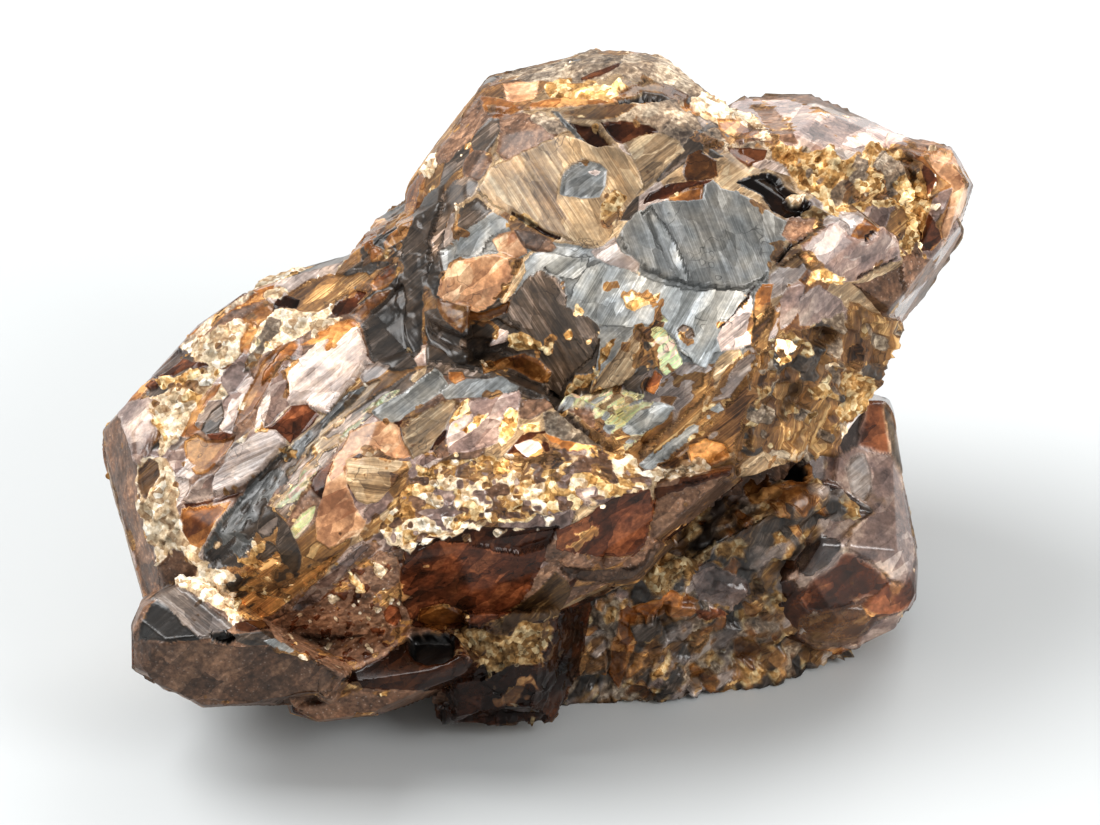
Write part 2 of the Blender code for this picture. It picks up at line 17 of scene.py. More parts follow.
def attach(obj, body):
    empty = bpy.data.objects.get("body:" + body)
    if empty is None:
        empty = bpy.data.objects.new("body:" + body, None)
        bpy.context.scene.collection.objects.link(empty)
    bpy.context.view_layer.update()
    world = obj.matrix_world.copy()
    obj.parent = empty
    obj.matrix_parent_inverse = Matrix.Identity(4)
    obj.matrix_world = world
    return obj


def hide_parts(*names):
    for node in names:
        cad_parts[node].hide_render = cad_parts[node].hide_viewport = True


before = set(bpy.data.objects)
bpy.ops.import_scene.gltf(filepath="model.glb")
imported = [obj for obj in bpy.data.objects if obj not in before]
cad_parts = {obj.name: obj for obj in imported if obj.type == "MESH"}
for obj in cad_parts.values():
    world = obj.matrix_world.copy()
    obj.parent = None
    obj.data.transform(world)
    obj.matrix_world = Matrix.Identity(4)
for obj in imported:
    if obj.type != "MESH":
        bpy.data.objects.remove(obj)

MILLIMETRE = 0.001  # metres
HOUR = 30.0  # degrees, as directions in the view are given as hours of a clock
PHOTO_WIDTH, PHOTO_HEIGHT = 1100, 825  # px
MASK_REACH = 20.0  # px, the deepest that a mask tells inside or outside a patch
LIMB = 0.04  # a normal's part towards the eye, below which the eye doesn't see the surface
DRAWN = 0.6  # share taken off a distance along the lamellae, which draws patches out
LAMELLA = 0.16  # mm across one lamella
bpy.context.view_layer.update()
Socket = bpy.types.NodeSocket
Tree = bpy.types.NodeTree
log = logging.getLogger("garnet")


class Finish(Enum):
    """The finishes of the specimen, in the order of their masks."""

    PEWTER = 0
    LILAC = 1
    TAN = 2
    OCHRE = 3
    SLATE = 4
    RAINBOW = 5
    AMBER = 6
    MAROON = 7
    FROSTED = 8
    CREAM = 9
    FIBROUS = 10
    WEATHERED = 11
    MAUVE = 12
    PEACH = 13


class Pattern(Enum):
    """What a finish's colours follow."""

    STRIATED = "striated"
    CRUMBLY = "crumbly"
    CLOUDY = "cloudy"
    GRITTY = "gritty"


@dataclass(frozen=True)
class Look:
    """One finish of a natural surface: its colours from dark to light and how it shines."""

    colours: tuple[str, ...]
    pattern: Pattern
    roughness: float
    gloss: float = 0.5  # how strongly it mirrors, 0.5 for plain glass
    relief: float = 0.0  # mm, the height of its fine bumps
    specks: float = 0.0  # how many pale flecks lie in it, 0 to 1


F = Finish
LOOKS = {
    # Growth lamellae of andradite in fine parallel steps, their pewter grey partly a painted reflection of
    # the bright room
    F.PEWTER: Look(("#565755", "#7d7e7c", "#949594", "#c4c7c8"), Pattern.STRIATED, 0.32, 0.6, 0.005),
    # The same lamellae with a painted highlight: pale with a lilac cast, as where they catch the light
    F.LILAC: Look(("#665852", "#95857d", "#b4a49b", "#e6dcd8"), Pattern.STRIATED, 0.30, 0.5, 0.005),
    # Striated tan faces, with iron staining in the grooves
    F.TAN: Look(("#54402c", "#8e7455", "#ac9272", "#dec9a8"), Pattern.STRIATED, 0.40, 0.45, 0.006),
    # Earthy limonite in dull golden crumbs
    F.OCHRE: Look(("#7c5628", "#c69c64", "#f0dcb2"), Pattern.CRUMBLY, 0.85, 0.3, 0.014),
    # Dark glassy faces, nearly charcoal, and also laid in hollows as painted shade
    F.SLATE: Look(("#1a1512", "#38302a", "#4b3f35", "#7d7068"), Pattern.STRIATED, 0.30, 0.4, 0.003),
    # Faces whose thin layers split the light: that split is painted into their colour as a fixed sheen of
    # green, gold and pink
    F.RAINBOW: Look(("#6b6046", "#c9bd80", "#a0977e", "#a9c088", "#b3a893", "#dcb0a2", "#ded5a4", "#948b7c"),
                    Pattern.STRIATED, 0.30, 0.5, 0.005),
    # Orange garnet that the light goes into
    F.AMBER: Look(("#52290e", "#8c5a2c", "#d2a26a"), Pattern.CLOUDY, 0.24, 0.35, 0.002),
    # Dark red-brown garnet glass, and also laid, darkened, in hollows as painted shade
    F.MAROON: Look(("#1c0c06", "#432213", "#70452c"), Pattern.CLOUDY, 0.16, 0.22, 0.002),
    # Etched brown faces with pale specks
    F.FROSTED: Look(("#483224", "#6c503e", "#937560"), Pattern.GRITTY, 0.40, 0.35, 0.003, 0.22),
    # Pale crumbly carbonate
    F.CREAM: Look(("#a07e5c", "#dcc6a6", "#fbf3e4"), Pattern.CRUMBLY, 0.85, 0.35, 0.014),
    # Brown fibrous ends of the lamellae
    F.FIBROUS: Look(("#2a180c", "#604024", "#7e5c38", "#936c3e", "#d4b07c"),
                    Pattern.STRIATED, 0.55, 0.35, 0.020),
    # Weathered pinkish-grey crust
    F.WEATHERED: Look(("#382b22", "#877563", "#d2c4b0"), Pattern.GRITTY, 0.65, 0.35, 0.020),
    # Smooth peach and pinkish-grey faces that the light goes a little way into
    F.PEACH: Look(("#85573a", "#bc8e6a", "#e8cbab"), Pattern.CLOUDY, 0.32, 0.4, 0.002),
    F.MAUVE: Look(("#54403a", "#8f776e", "#ccbab0"), Pattern.CLOUDY, 0.22, 0.5, 0.002),
}


@dataclass(frozen=True)
class Patch:
    """A patch of one finish, outlined in pixels of the photograph."""

    finish: Finish
    outline: str
    run: float = 1.7  # the hour its striations point to
    lift: float = 0.0  # mm that it stands above the facet
    tone: float = 0.0  # brighter or darker than its finish
    rough: float = 0.0  # mm that small broken blocks stand out in it
    fleck: float = 0.45  # mm across its flecks
    share: float = 1.0  # how much of the outline it fills, in flecks where below 1

    def points(self) -> np.ndarray:
        """Its corners as rows of x, y."""
        return np.array([corner.split(",") for corner in self.outline.split()], dtype=float)


def patches(rows: str) -> tuple[Patch, ...]:
    """Patches from text.

    Args:
        rows: parted by semicolons, each one or more finishes with their settings, parted by slashes, a
            colon, and the corners that they share.

    Returns:
        The patches, in the order of the text.
    """
    made = []
    for row in rows.split(";"):
        fills, outline = row.split(":")
        for fill in fills.split("/"):
            finish, *settings = fill.split()
            values = {name: float(value) for name, value in (setting.split("=") for setting in settings)}
            made.append(Patch(Finish[finish], outline, **values))
    return tuple(made)


@dataclass(frozen=True)
class Display:
    """The display view that the specimen is laid out in: u right, v up and w towards the eye, in mm."""

    length: float = 26.1  # mm, from the left crystal's tip to the right one
    traced_length: float = 870.0  # px
    centre: tuple[float, float] = (550.0, 412.0)  # px, where u and v are zero
    looking_down: float = 35.0  # degrees
    ground: float = -9.3  # mm, the rest surface against the view's centre
    shift: tuple[float, float] = (0.352, -3.329)  # mm, to the middle of the specimen's box
    distance: float = 600.0  # mm, from the eye to the view's centre

    @property
    def pixel(self) -> float:
        """Millimetres in one pixel."""
        return self.length / self.traced_length

    def traced(self, x: np.ndarray, y: np.ndarray) -> tuple[np.ndarray, np.ndarray]:
        """Pixels as u and v."""
        return (x - self.centre[0]) * self.pixel, (self.centre[1] - y) * self.pixel

    def pixels(self, points: np.ndarray) -> np.ndarray:
        """Where the eye sees points.

        Args:
            points: rows of u, v, w.

        Returns:
            Rows of x, y in pixels: u and v grow by distance / (distance - w).
        """
        near = self.distance / (self.distance - points[:, 2:3]) / self.pixel
        return np.hstack((self.centre[0] + points[:, :1] * near, self.centre[1] - points[:, 1:2] * near))

    def to_part(self, points: np.ndarray) -> np.ndarray:
        """Rows of u, v, w in mm as rows of x, y, z in metres, +Z up."""
        s, c = math.sin(math.radians(self.looking_down)), math.cos(math.radians(self.looking_down))
        turn = np.array(((1, 0, 0), (0, s, -c), (0, c, s)))
        return (points @ turn.T + (*self.shift, -self.ground)) * MILLIMETRE


DISPLAY = Display()


def facing(clock: np.ndarray, lean: np.ndarray) -> np.ndarray:
    """Unit vectors from the hours they face in the view and their lean away from the eye in degrees."""
    turn, tilt = np.radians(np.asarray(clock) * HOUR), np.radians(np.asarray(lean))
    return np.stack((np.sin(tilt) * np.sin(turn), np.sin(tilt) * np.cos(turn), np.cos(tilt)), axis=-1)


def smooth(values: np.ndarray, low: float, high: float) -> np.ndarray:
    """0 below low, 1 above high and a smooth rise between them: t * t * (3 - 2 t)."""
    t = np.clip((values - low) / (high - low), 0.0, 1.0)
    return t * t * (3.0 - 2.0 * t)


def lamellae(points: np.ndarray, run: float) -> tuple[np.ndarray, np.ndarray]:
    """How far points lie across and along lamellae that point to an hour, in mm."""
    s, c = math.sin(math.radians(run * HOUR)), math.cos(math.radians(run * HOUR))
    return points[:, :2] @ np.array((c, -s)), points[:, :2] @ np.array((s, c))


class Scatter:
    """Repeatable noise on whole arrays, from a shuffled table of 256 numbers."""

    def __init__(self, seed: int) -> None:
        """Shuffles the table with a seed."""
        rng = np.random.default_rng(seed)
        self.order = rng.permutation(256)
        self.values = rng.random(256)

    def corner(self, cells: np.ndarray, salt: int = 0) -> np.ndarray:
        """The table's number for whole-number cells (rows of i, j, k)."""
        i, j, k = (cells[..., axis] & 255 for axis in range(3))
        return self.values[self.order[(self.order[(self.order[(i + salt) & 255] + j) & 255] + k) & 255]]

    def noise(self, points: np.ndarray, size: float, octaves: int = 1) -> np.ndarray:
        """Value noise: the eight corners of each cell blended smoothly, then halved in size and height.

        Args:
            points: rows of x, y, z in mm.
            size: mm across one cell of the coarsest octave.
            octaves: how many are added.

        Returns:
            Values about 0, mostly within -1 to 1.
        """
        total = np.zeros(len(points))
        for octave in range(octaves):
            scaled = points / (size / 2**octave)
            low = np.floor(scaled).astype(int)
            t = scaled - low
            t = t * t * (3.0 - 2.0 * t)
            value = np.zeros(len(points))
            for dx in (0, 1):
                for dy in (0, 1):
                    for dz in (0, 1):
                        share = np.prod(np.abs((1 - dx, 1 - dy, 1 - dz) - t), axis=1)
                        value += share * self.corner(low + (dx, dy, dz), 17 * octave)
            total += (value * 2.0 - 1.0) / 2**octave
        return total

    def crumbs(self, points: np.ndarray, size: float) -> tuple[np.ndarray, np.ndarray, np.ndarray]:
        """Broken crumbs: each point belongs to the nearest of one seed in each cell.

        Args:
            points: rows of x, y, z in mm.
            size: mm across a crumb.

        Returns:
            The distance to that seed in cells, its own number, and the height of its flat, leaning top,
            which is the offset from the seed times a lean of the crumb's own.
        """
        scaled = points / size
        low = np.floor(scaled).astype(int)
        nearest = np.full(len(points), 9.0)
        home, offset = low.copy(), np.zeros_like(points)
        for dx in (-1, 0, 1):
            for dy in (-1, 0, 1):
                for dz in (-1, 0, 1):
                    cell = low + (dx, dy, dz)
                    away = scaled - cell - np.stack([self.corner(cell, salt) for salt in (1, 2, 3)], axis=1)
                    distance = np.linalg.norm(away, axis=1)
                    closer = distance < nearest
                    nearest[closer] = distance[closer]
                    home[closer], offset[closer] = cell[closer], away[closer]
        lean = np.stack([self.corner(home, salt) for salt in (6, 7, 8)], axis=1) - 0.5
        return nearest, self.corner(home, 5), (offset * lean).sum(1) * 2.0


SCATTER = Scatter(7)


def outline_distance(points: np.ndarray, outline: np.ndarray) -> np.ndarray:
    """How far points lie inside an outline, in pixels, and negative outside.

    The distance is to the nearest side, and its sign comes from how often a ray to the left crosses.
    """
    start, end = outline, np.roll(outline, -1, axis=0)
    side = end - start
    to = points[:, None, :] - start[None]
    t = np.clip((to * side).sum(2) / (side**2).sum(1), 0.0, 1.0)
    distance = np.sqrt(((to - t[..., None] * side) ** 2).sum(2).min(axis=1))
    over = (start[:, 1] > points[:, 1:2]) != (end[:, 1] > points[:, 1:2])
    with np.errstate(divide="ignore", invalid="ignore"):
        cross = start[:, 0] + (points[:, 1:2] - start[:, 1]) * side[:, 0] / side[:, 1]
    crossings = (over & (points[:, :1] < cross)).sum(axis=1)
    return np.where(crossings % 2 == 1, distance, -distance)


def sphere_grid(cells: int, drawn: float) -> tuple[np.ndarray, np.ndarray]:
    """The six faces of a cube as grids, blown up to a sphere and drawn towards the eye.

    Each face's two parameters run over whole steps. They become equal angles, tan(t * pi / 4), and the
    sphere's points then slide towards the eye by a stereographic map, which keeps the cells square.

    Args:
        cells: steps along each side of a face.
        drawn: how many times finer the cells are towards the eye than without the slide.

    Returns:
        Unit directions as rows, and quads as rows of their four indices.
    """
    step = np.arange(cells + 1)
    a, b = np.meshgrid(step, step, indexing="ij")
    lattice, quads = [], []
    for axis in range(3):
        for side in (0, cells):
            place = np.zeros((*a.shape, 3), dtype=int)
            place[..., axis], place[..., (axis + 1) % 3], place[..., (axis + 2) % 3] = side, a, b
            index = np.arange(a.size).reshape(a.shape) + len(lattice) * a.size
            ring = [index[:-1, :-1], index[1:, :-1], index[1:, 1:], index[:-1, 1:]]
            ring = ring if side else ring[::-1]
            quads.append(np.stack(ring, axis=-1).reshape(-1, 4))
            lattice.append(place.reshape(-1, 3))
    places = np.concatenate(lattice)
    code = places @ np.array(((cells + 1) ** 2, cells + 1, 1))
    _, first, joined = np.unique(code, return_index=True, return_inverse=True)
    directions = np.tan((places[first] / cells * 2.0 - 1.0) * math.pi / 4)
    directions /= np.linalg.norm(directions, axis=1, keepdims=True)
    flat = directions[:, :2] / np.maximum(1.0 + directions[:, 2:], 1e-9) / drawn
    square = (flat**2).sum(1, keepdims=True)
    directions = np.hstack((2.0 * flat, 1.0 - square)) / (1.0 + square)
    return directions, joined.ravel()[np.concatenate(quads)]


@dataclass
class Skin:
    """What is known at each point of a surface while it is worked."""

    points: np.ndarray  # mm, in the display view
    normals: np.ndarray
    pixels: np.ndarray = field(init=False)
    masks: np.ndarray = field(init=False)  # px that each finish reaches inside its patch
    grain: np.ndarray = field(init=False)  # mm across the striations, mm along them, and a seed
    tone: np.ndarray = field(init=False)
    height: np.ndarray = field(init=False)  # mm above the facet
    broken: np.ndarray = field(init=False)  # mm that small broken blocks stand out
    jag: np.ndarray = field(init=False)  # a way to shift outlines, the same all over each small chip

    def __post_init__(self) -> None:
        """Starts with no patches and no relief."""
        count = len(self.points)
        self.pixels = DISPLAY.pixels(self.points)
        self.masks = np.full((count, len(Finish)), -MASK_REACH)
        self.grain = np.zeros((count, 3))
        self.tone = np.zeros(count)
        self.height = np.zeros(count)
        self.broken = np.zeros(count)
        _, number, _ = SCATTER.crumbs(self.points * (1.0, 0.5, 0.7), 0.3)
        self.jag = np.stack((np.cos(number * 2.0 * math.pi), np.sin(number * 2.0 * math.pi)), axis=1)

    def grow_round_seeds(self, finishes: tuple[Finish, ...], count: int, seed: int,
                         way: tuple[float, ...] = ()) -> None:
        """Untraced patches: each point belongs to its nearest seed.

        A finish's mask is half the way from its own nearest seed to the nearest of any other finish.
        Each patch leans its own way, so they meet in ledges.

        Args:
            finishes: what the seeds are given, in turn.
            count: how many seeds.
            seed: starts the random choice.
            way: the unit vector along which the patches are drawn out, if they are.
        """
        rng = np.random.default_rng(seed)
        chosen = rng.choice(len(self.points), count, replace=False)
        seeds, ways = self.points[chosen], self.normals[chosen]
        kinds = [finishes[i % len(finishes)].value for i in range(count)]
        best = np.full((len(self.points), len(Finish)), 1e3)
        nearest = np.zeros(len(self.points), dtype=int)
        for number, kind in enumerate(kinds):
            offset = self.points - seeds[number]
            if way:
                offset = offset - np.outer(offset @ np.array(way), way) * DRAWN
            distance = np.linalg.norm(offset, axis=1) + self.jag[:, 0] * 0.12
            nearest[distance < best.min(axis=1)] = number
            best[:, kind] = np.minimum(best[:, kind], distance)
        order = np.sort(best, axis=1)[:, :2]
        others = np.where(best == order[:, :1], order[:, 1:2], order[:, :1])
        self.masks = np.clip((others - best) / 2 / DISPLAY.pixel, -MASK_REACH, MASK_REACH)
        tilt = rng.normal(0.0, 0.04, (count, 3))
        self.height = np.clip(((self.points - seeds[nearest]) * tilt[nearest]).sum(1), -0.08, 0.08)
        angle = rng.uniform(0.0, math.pi, count)
        along = np.cross(ways, np.stack((np.cos(angle), np.sin(angle), np.full(count, 0.3)), axis=1))
        along /= np.linalg.norm(along, axis=1, keepdims=True)
        across = np.cross(ways, along)
        self.grain[:, 0] = (self.points * across[nearest]).sum(1)
        self.grain[:, 1] = (self.points * along[nearest]).sum(1)
        self.grain[:, 2] = rng.random(count)[nearest]
        self.tone = rng.uniform(-0.25, 0.15, count)[nearest]

    def lay(self, depth: np.ndarray, finish: Finish, rows: slice | np.ndarray = slice(None)) -> None:
        """Puts a finish over the others where it is deep enough.

        Args:
            depth: px inside the new patch, for each of the rows.
            finish: what is laid.
            rows: the points that it may cover.
        """
        masks = np.minimum(self.masks[rows], -depth[:, None])
        masks[:, finish.value] = np.maximum(self.masks[rows, finish.value], depth)
        self.masks[rows] = np.clip(masks, -MASK_REACH, MASK_REACH)

    def paint(self, patch: Patch, number: int) -> None:
        """Lays one traced patch on what the eye sees of the surface.

        A patch that fills its outline gets a height of its own. It leans to an hour and by an angle that
        follow from its number, so neighbours meet in ledges. Flecks add to the height that is there.

        Args:
            patch: what to lay.
            number: its place among the patches.
        """
        outline = patch.points()
        margin = 8.0
        low, high = outline.min(axis=0) - margin, outline.max(axis=0) + margin
        near = np.flatnonzero(((self.pixels > low) & (self.pixels < high)).all(axis=1))
        if not len(near):
            return
        full = patch.share == 1.0
        ragged = patch.finish in (F.OCHRE, F.CREAM, F.WEATHERED) or not full
        wander = 4.0 if ragged else 0.8
        reach = min(0.9, 0.01 * (high - low).min()) if full else 1.0
        spots = self.points[near]
        shift = np.stack((SCATTER.noise(spots, 0.4, 3), SCATTER.noise(spots + 50.0, 0.4, 3)), axis=1)
        depth = outline_distance(self.pixels[near] + self.jag[near] * reach + wander * shift, outline)
        depth = np.minimum(depth, (self.normals[near, 2] - LIMB) * 60.0)
        across, along = lamellae(spots, patch.run)
        if not full:
            drawn = 0.4 if LOOKS[patch.finish].pattern is Pattern.STRIATED else 0.9
            places = np.stack((across, along * drawn, np.full(len(near), number * 3.7)), axis=1)
            fleck = SCATTER.noise(places, patch.fleck, 2)
            level = np.quantile(fleck[depth > 0], 1.0 - patch.share) if (depth > 0).any() else 0.0
            depth = np.minimum(depth, (fleck - level) * 9.0)
        self.lay(depth, patch.finish, near)
        inside = depth > 0
        hit = near[inside]
        own = np.full(len(hit), (number * 0.37) % 1.0)
        self.grain[hit] = np.stack((across[inside], along[inside], own), axis=1)
        self.tone[hit] = patch.tone
        lift = patch.lift or ((number * 0.618) % 1.0 - 0.5) * 0.09
        cover = smooth(depth, -0.6, 1.6)
        if not full:
            self.height[near] += cover * (lift + 0.02)
            return
        way = facing((number * 4.6) % 12.0, 90.0)[:2]
        slope = -math.tan(math.radians(2.0 + (number * 2.3) % 5.0))
        offset = spots[:, :2] - DISPLAY.traced(*outline.mean(axis=0))
        rise = lift + np.clip(slope * (offset @ way), -0.15, 0.15)
        self.height[near] += cover * (rise - self.height[near])
        self.broken[near] += (patch.rough - self.broken[near]) * smooth(depth, 0.0, 4.0)

    def crust_painted_light_and_lamellae(self) -> None:
        """Crust, painted shade in the seams, painted highlights just inside them, and lamellae that differ.

        Crust grows where noise outweighs the distance to the nearest patch edge. The seams get a painted
        shade, and a band just inside each patch gets a painted highlight here and there. Each lamella has
        wandering edges and its own tone.
        """
        inner = self.masks.max(axis=1)
        broad, small = SCATTER.noise(self.points, 1.3, 2), SCATTER.noise(self.points + 31.0, 0.3, 3)
        for finish, offset, reach in ((F.FIBROUS, 9.0, 0.7), (F.OCHRE, 23.0, 1.3), (F.CREAM, 47.0, 1.5)):
            area = SCATTER.noise(self.points + offset, 0.9, 2)
            self.lay((area * 1.2 + small * 0.9 - reach) * 7.0 - np.minimum(inner, 7.0) * 0.7, finish)
        # Painted shade darkens the seams between patches, and a painted highlight brightens a band just
        # inside each patch.
        seam_shade = 1.0 - smooth(inner, 0.0, 1.6)
        rim_highlight = smooth(inner, 0.8, 1.8) * (1.0 - smooth(inner, 2.4, 4.2))
        self.tone += 0.35 * rim_highlight * smooth(small + broad * 0.5, 0.25, 0.9)
        self.tone -= 0.12 * seam_shade * smooth(small, -0.1, 0.8)
        wander = SCATTER.noise(self.grain * (1.0, 0.25, 40.0), 0.6)
        band = np.floor(self.grain[:, 0] / LAMELLA + wander * 1.5).astype(int)
        own = SCATTER.corner(np.stack((band, (self.grain[:, 2] * 97).astype(int), band * 0), axis=1)) - 0.5
        banded = sum(smooth(self.masks[:, finish.value], 0.0, 2.0) for finish, look in LOOKS.items()
                     if look.pattern is Pattern.STRIATED)
        self.tone += 0.15 * banded * own + 0.10 * broad
        self.height += 0.016 * banded * own

    def roughen(self, lumps: float) -> None:
        """The relief that each finish has of itself, faded in over a few pixels from its edge.

        Crumbs stand proud of the spaces between them, which get a painted shade, and broken lumps get
        painted shade at their edges. Striations are saw teeth, steep on one side, with widths that wander.
        Weathered and frosted faces are pitted.

        Args:
            lumps: mm, how far broken lumps stand out all over the surface.
        """
        crumb, number, top = SCATTER.crumbs(self.points, 0.42)
        _, shade, chip = SCATTER.crumbs(self.points + 5.0, 0.19)
        grit = SCATTER.noise(self.points, 0.25, 3)
        crumbs = top * 0.12 + (number - 0.5) * 0.08 + chip * 0.06 + grit * 0.02
        pits = SCATTER.noise(self.points, 0.5, 3) * 0.035
        wander = SCATTER.noise(self.grain * (1.0, 0.2, 40.0), 0.5)
        tooth = self.grain[:, 0] / 0.2 + wander
        teeth = (tooth - np.floor(tooth)) - 0.5
        for finish, look in LOOKS.items():
            share = smooth(self.masks[:, finish.value], 0.0, 2.5)
            if look.pattern is Pattern.CRUMBLY:
                self.height += share * (crumbs + 0.05)
                # The spaces between crumbs are painted darker as shade.
                gap_shade = smooth(crumb, 0.5, 0.85)
                self.tone += share * ((number - 0.5) * 0.25 + (shade - 0.5) * 0.3 - gap_shade * 0.2)
            elif look.pattern is Pattern.GRITTY:
                self.height += share * pits * (2.4 if finish is Finish.WEATHERED else 0.7)
            elif look.pattern is Pattern.STRIATED:
                self.height += share * teeth * (0.02 if finish is Finish.FIBROUS else 0.005)
        if self.broken.any():
            _, step, chunk = SCATTER.crumbs(self.points + 3.0, 0.62)
            self.height += self.broken * (chunk * 1.3 + (step - 0.5) * 1.2 + top * 0.4 + grit * 0.15)
            self.tone += np.minimum(self.broken, 0.2) * ((step - 0.5) * 2.0 + (number - 0.5) * 1.2)
        if lumps:
            big, own, block = SCATTER.crumbs(self.points + 11.0, 1.35)
            _, step, chunk = SCATTER.crumbs(self.points + 3.0, 0.6)
            self.height += lumps * (
                block * 0.9 + (own - 0.5) * 0.9 + chunk * 0.35 + (step - 0.5) * 0.3 + grit * 0.1)
            # The rims of the big lumps are painted darker as shade between them.
            self.tone += (own - 0.6) * 0.5 + (step - 0.5) * 0.35 - smooth(big, 0.55, 0.9) * 0.2

    def displaced(self) -> np.ndarray:
        """The points moved out along their normals by the relief."""
        return self.points + self.normals * self.height[:, None]


@dataclass(frozen=True)
class Facet:
    """A flat face: the hour it faces, its lean away from the eye, and a point on it (px, px, mm)."""

    clock: float
    lean: float
    x: float
    y: float
    depth: float


def facets(rows: str) -> tuple[Facet, ...]:
    """Facets from rows of clock, lean, x, y and depth, parted by semicolons."""
    return tuple(Facet(*(float(value) for value in row.split())) for row in rows.split(";"))


@dataclass(frozen=True)
class Crystal:
    """A convex crystal: its centre, its flat faces and the finishes of its seen and hidden sides."""

    name: str
    centre: tuple[float, float, float]  # px, px, mm
    faces: tuple[Facet, ...]
    front: tuple[Finish, ...]
    hidden: tuple[Finish, ...]
    cells: int = 60
    drawn: float = 1.5
    seeds: int = 30
    mosaic: int = 40  # patches grown over its seen side
    edge: float = 160.0  # how sharp its edges are: they are rounded by about reach / edge
    lumps: float = 0.0  # mm that broken lumps stand out all over it
    shade: float = 0.0  # the tone of its seen side where no patch lies

    def middle(self) -> np.ndarray:
        """Its centre in mm."""
        u, v = DISPLAY.traced(*self.centre[:2])
        return np.array((u, v, self.centre[2]))

    def planes(self) -> tuple[np.ndarray, np.ndarray]:
        """The unit normals of its faces and their distances from its centre."""
        rows = np.array([(f.clock, f.lean, f.x, f.y, f.depth) for f in self.faces])
        normals = facing(rows[:, 0], rows[:, 1])
        u, v = DISPLAY.traced(rows[:, 2], rows[:, 3])
        return normals, ((np.stack((u, v, rows[:, 4]), axis=1) - self.middle()) * normals).sum(1)

    def surface(self) -> tuple[Skin, np.ndarray]:
        """Its faces as one closed grid.

        Along a direction d the surface lies at the power mean of the reaches h / (n . d) of all faces
        with normal n and distance h, so it follows the nearest face and rounds the edges slightly.

        Returns:
            The skin and its quads.
        """
        directions, quads = sphere_grid(self.cells, self.drawn)
        normals, reach = self.planes()
        near = np.maximum(directions @ normals.T, 0.0) / reach
        most = near.max(axis=1, keepdims=True)
        weights = (near / most) ** self.edge
        total = weights.sum(axis=1, keepdims=True)
        points = self.middle() + directions / (most * total ** (1.0 / self.edge))
        mixed = weights @ normals
        return Skin(points, mixed / np.linalg.norm(mixed, axis=1, keepdims=True)), quads

    def worked(self, traced: tuple[Patch, ...], run: float) -> tuple[Skin, np.ndarray]:
        """The surface with its seeds' patches, the traced ones, its crust, its painted seam shade and rim
        highlights, and its relief.

        Args:
            traced: the traced patches, the lowest first.
            run: the hour that the lamellae of its seen side point to.

        Returns:
            The skin and its quads.
        """
        skin, quads = self.surface()
        key = sum(map(ord, self.name))
        skin.grow_round_seeds(self.hidden, self.seeds, key)
        unseen = skin.normals[:, 2] < LIMB
        kept = {part: getattr(skin, part)[unseen] for part in ("masks", "height", "grain", "tone")}
        turn = math.radians(run * HOUR)
        skin.grow_round_seeds(self.front, self.mosaic, key + 1, (math.sin(turn), math.cos(turn), 0.0))
        skin.grain[:, 0], skin.grain[:, 1] = lamellae(skin.points, run)
        skin.tone += self.shade
        skin.height *= smooth(skin.normals[:, 2], LIMB, 0.25)
        for part, values in kept.items():
            getattr(skin, part)[unseen] = values
        for number, patch in enumerate(traced):
            skin.paint(patch, number)
        skin.crust_painted_light_and_lamellae()
        skin.roughen(self.lumps)
        return skin, quads


@dataclass(frozen=True)
class WholeCrystal(Crystal):
    """A free-grown garnet: a rhombic dodecahedron with all twelve faces at one reach, turned."""

    reach: float = 3.0  # mm
    turn: tuple[float, float, float] = (0.0, 0.0, 0.0)  # degrees about u, v and w

    def planes(self) -> tuple[np.ndarray, np.ndarray]:
        """The twelve normals, the edge middles of a cube, turned, and their reaches."""
        ways = [(a * (i != 0), (a if i == 0 else b) * (i != 1), b * (i != 2)) for i in range(3)
                for a in (1, -1) for b in (1, -1)]
        spin = Matrix.Rotation(math.radians(self.turn[2]), 3, "Z") @ Matrix.Rotation(
            math.radians(self.turn[1]), 3, "Y") @ Matrix.Rotation(math.radians(self.turn[0]), 3, "X")
        normals = np.array(ways) / math.sqrt(2.0) @ np.array(spin).T
        return normals, np.full(len(normals), self.reach)


GROWN_OVER = (F.FROSTED, F.MAROON, F.FIBROUS, F.MAUVE, F.SLATE,
              F.FROSTED, F.WEATHERED, F.LILAC, F.MAROON, F.TAN)

DOME = Crystal("dome", (640, 280, -2.0), facets("""
    6.0 6 660 320 3.3; 0.6 30 700 288 3.4; 11.2 30 570 242 3.3; 9.3 30 515 262 2.9; 7.3 33 570 305 3.15;
    5.2 27 665 350 3.15; 4.0 30 735 345 2.9; 2.3 30 782 250 2.5; 11.6 58 580 120 1.3; 10.4 60 480 150 1.0;
    0.9 60 700 140 0.9; 9.3 66 452 270 1.7; 3.9 56 790 370 1.3; 5.7 68 700 470 1.5; 10.2 88 455 125 -1.0;
    11.6 84 550 73 -1.0; 0.1 84 630 64 -1.0; 0.9 84 705 93 -1.2; 1.3 90 830 190 -1.5; 3.4 92 893 330 -1.5;
    4.3 96 860 425 -1.0; 5.8 100 780 470 0.3; 6.9 95 560 480 0.0; 9.1 95 398 280 -1.0; 11.0 140 560 90 -6.0;
    1.5 135 760 190 -6.0; 3.8 130 850 350 -5.5; 7.5 128 500 400 -5.0; 9.8 135 430 230 -5.0;
    6.0 165 640 330 -6.5"""), (F.TAN, F.FIBROUS, F.TAN, F.SLATE, F.AMBER, F.LILAC),
    GROWN_OVER, cells=124, drawn=1.6, mosaic=150)
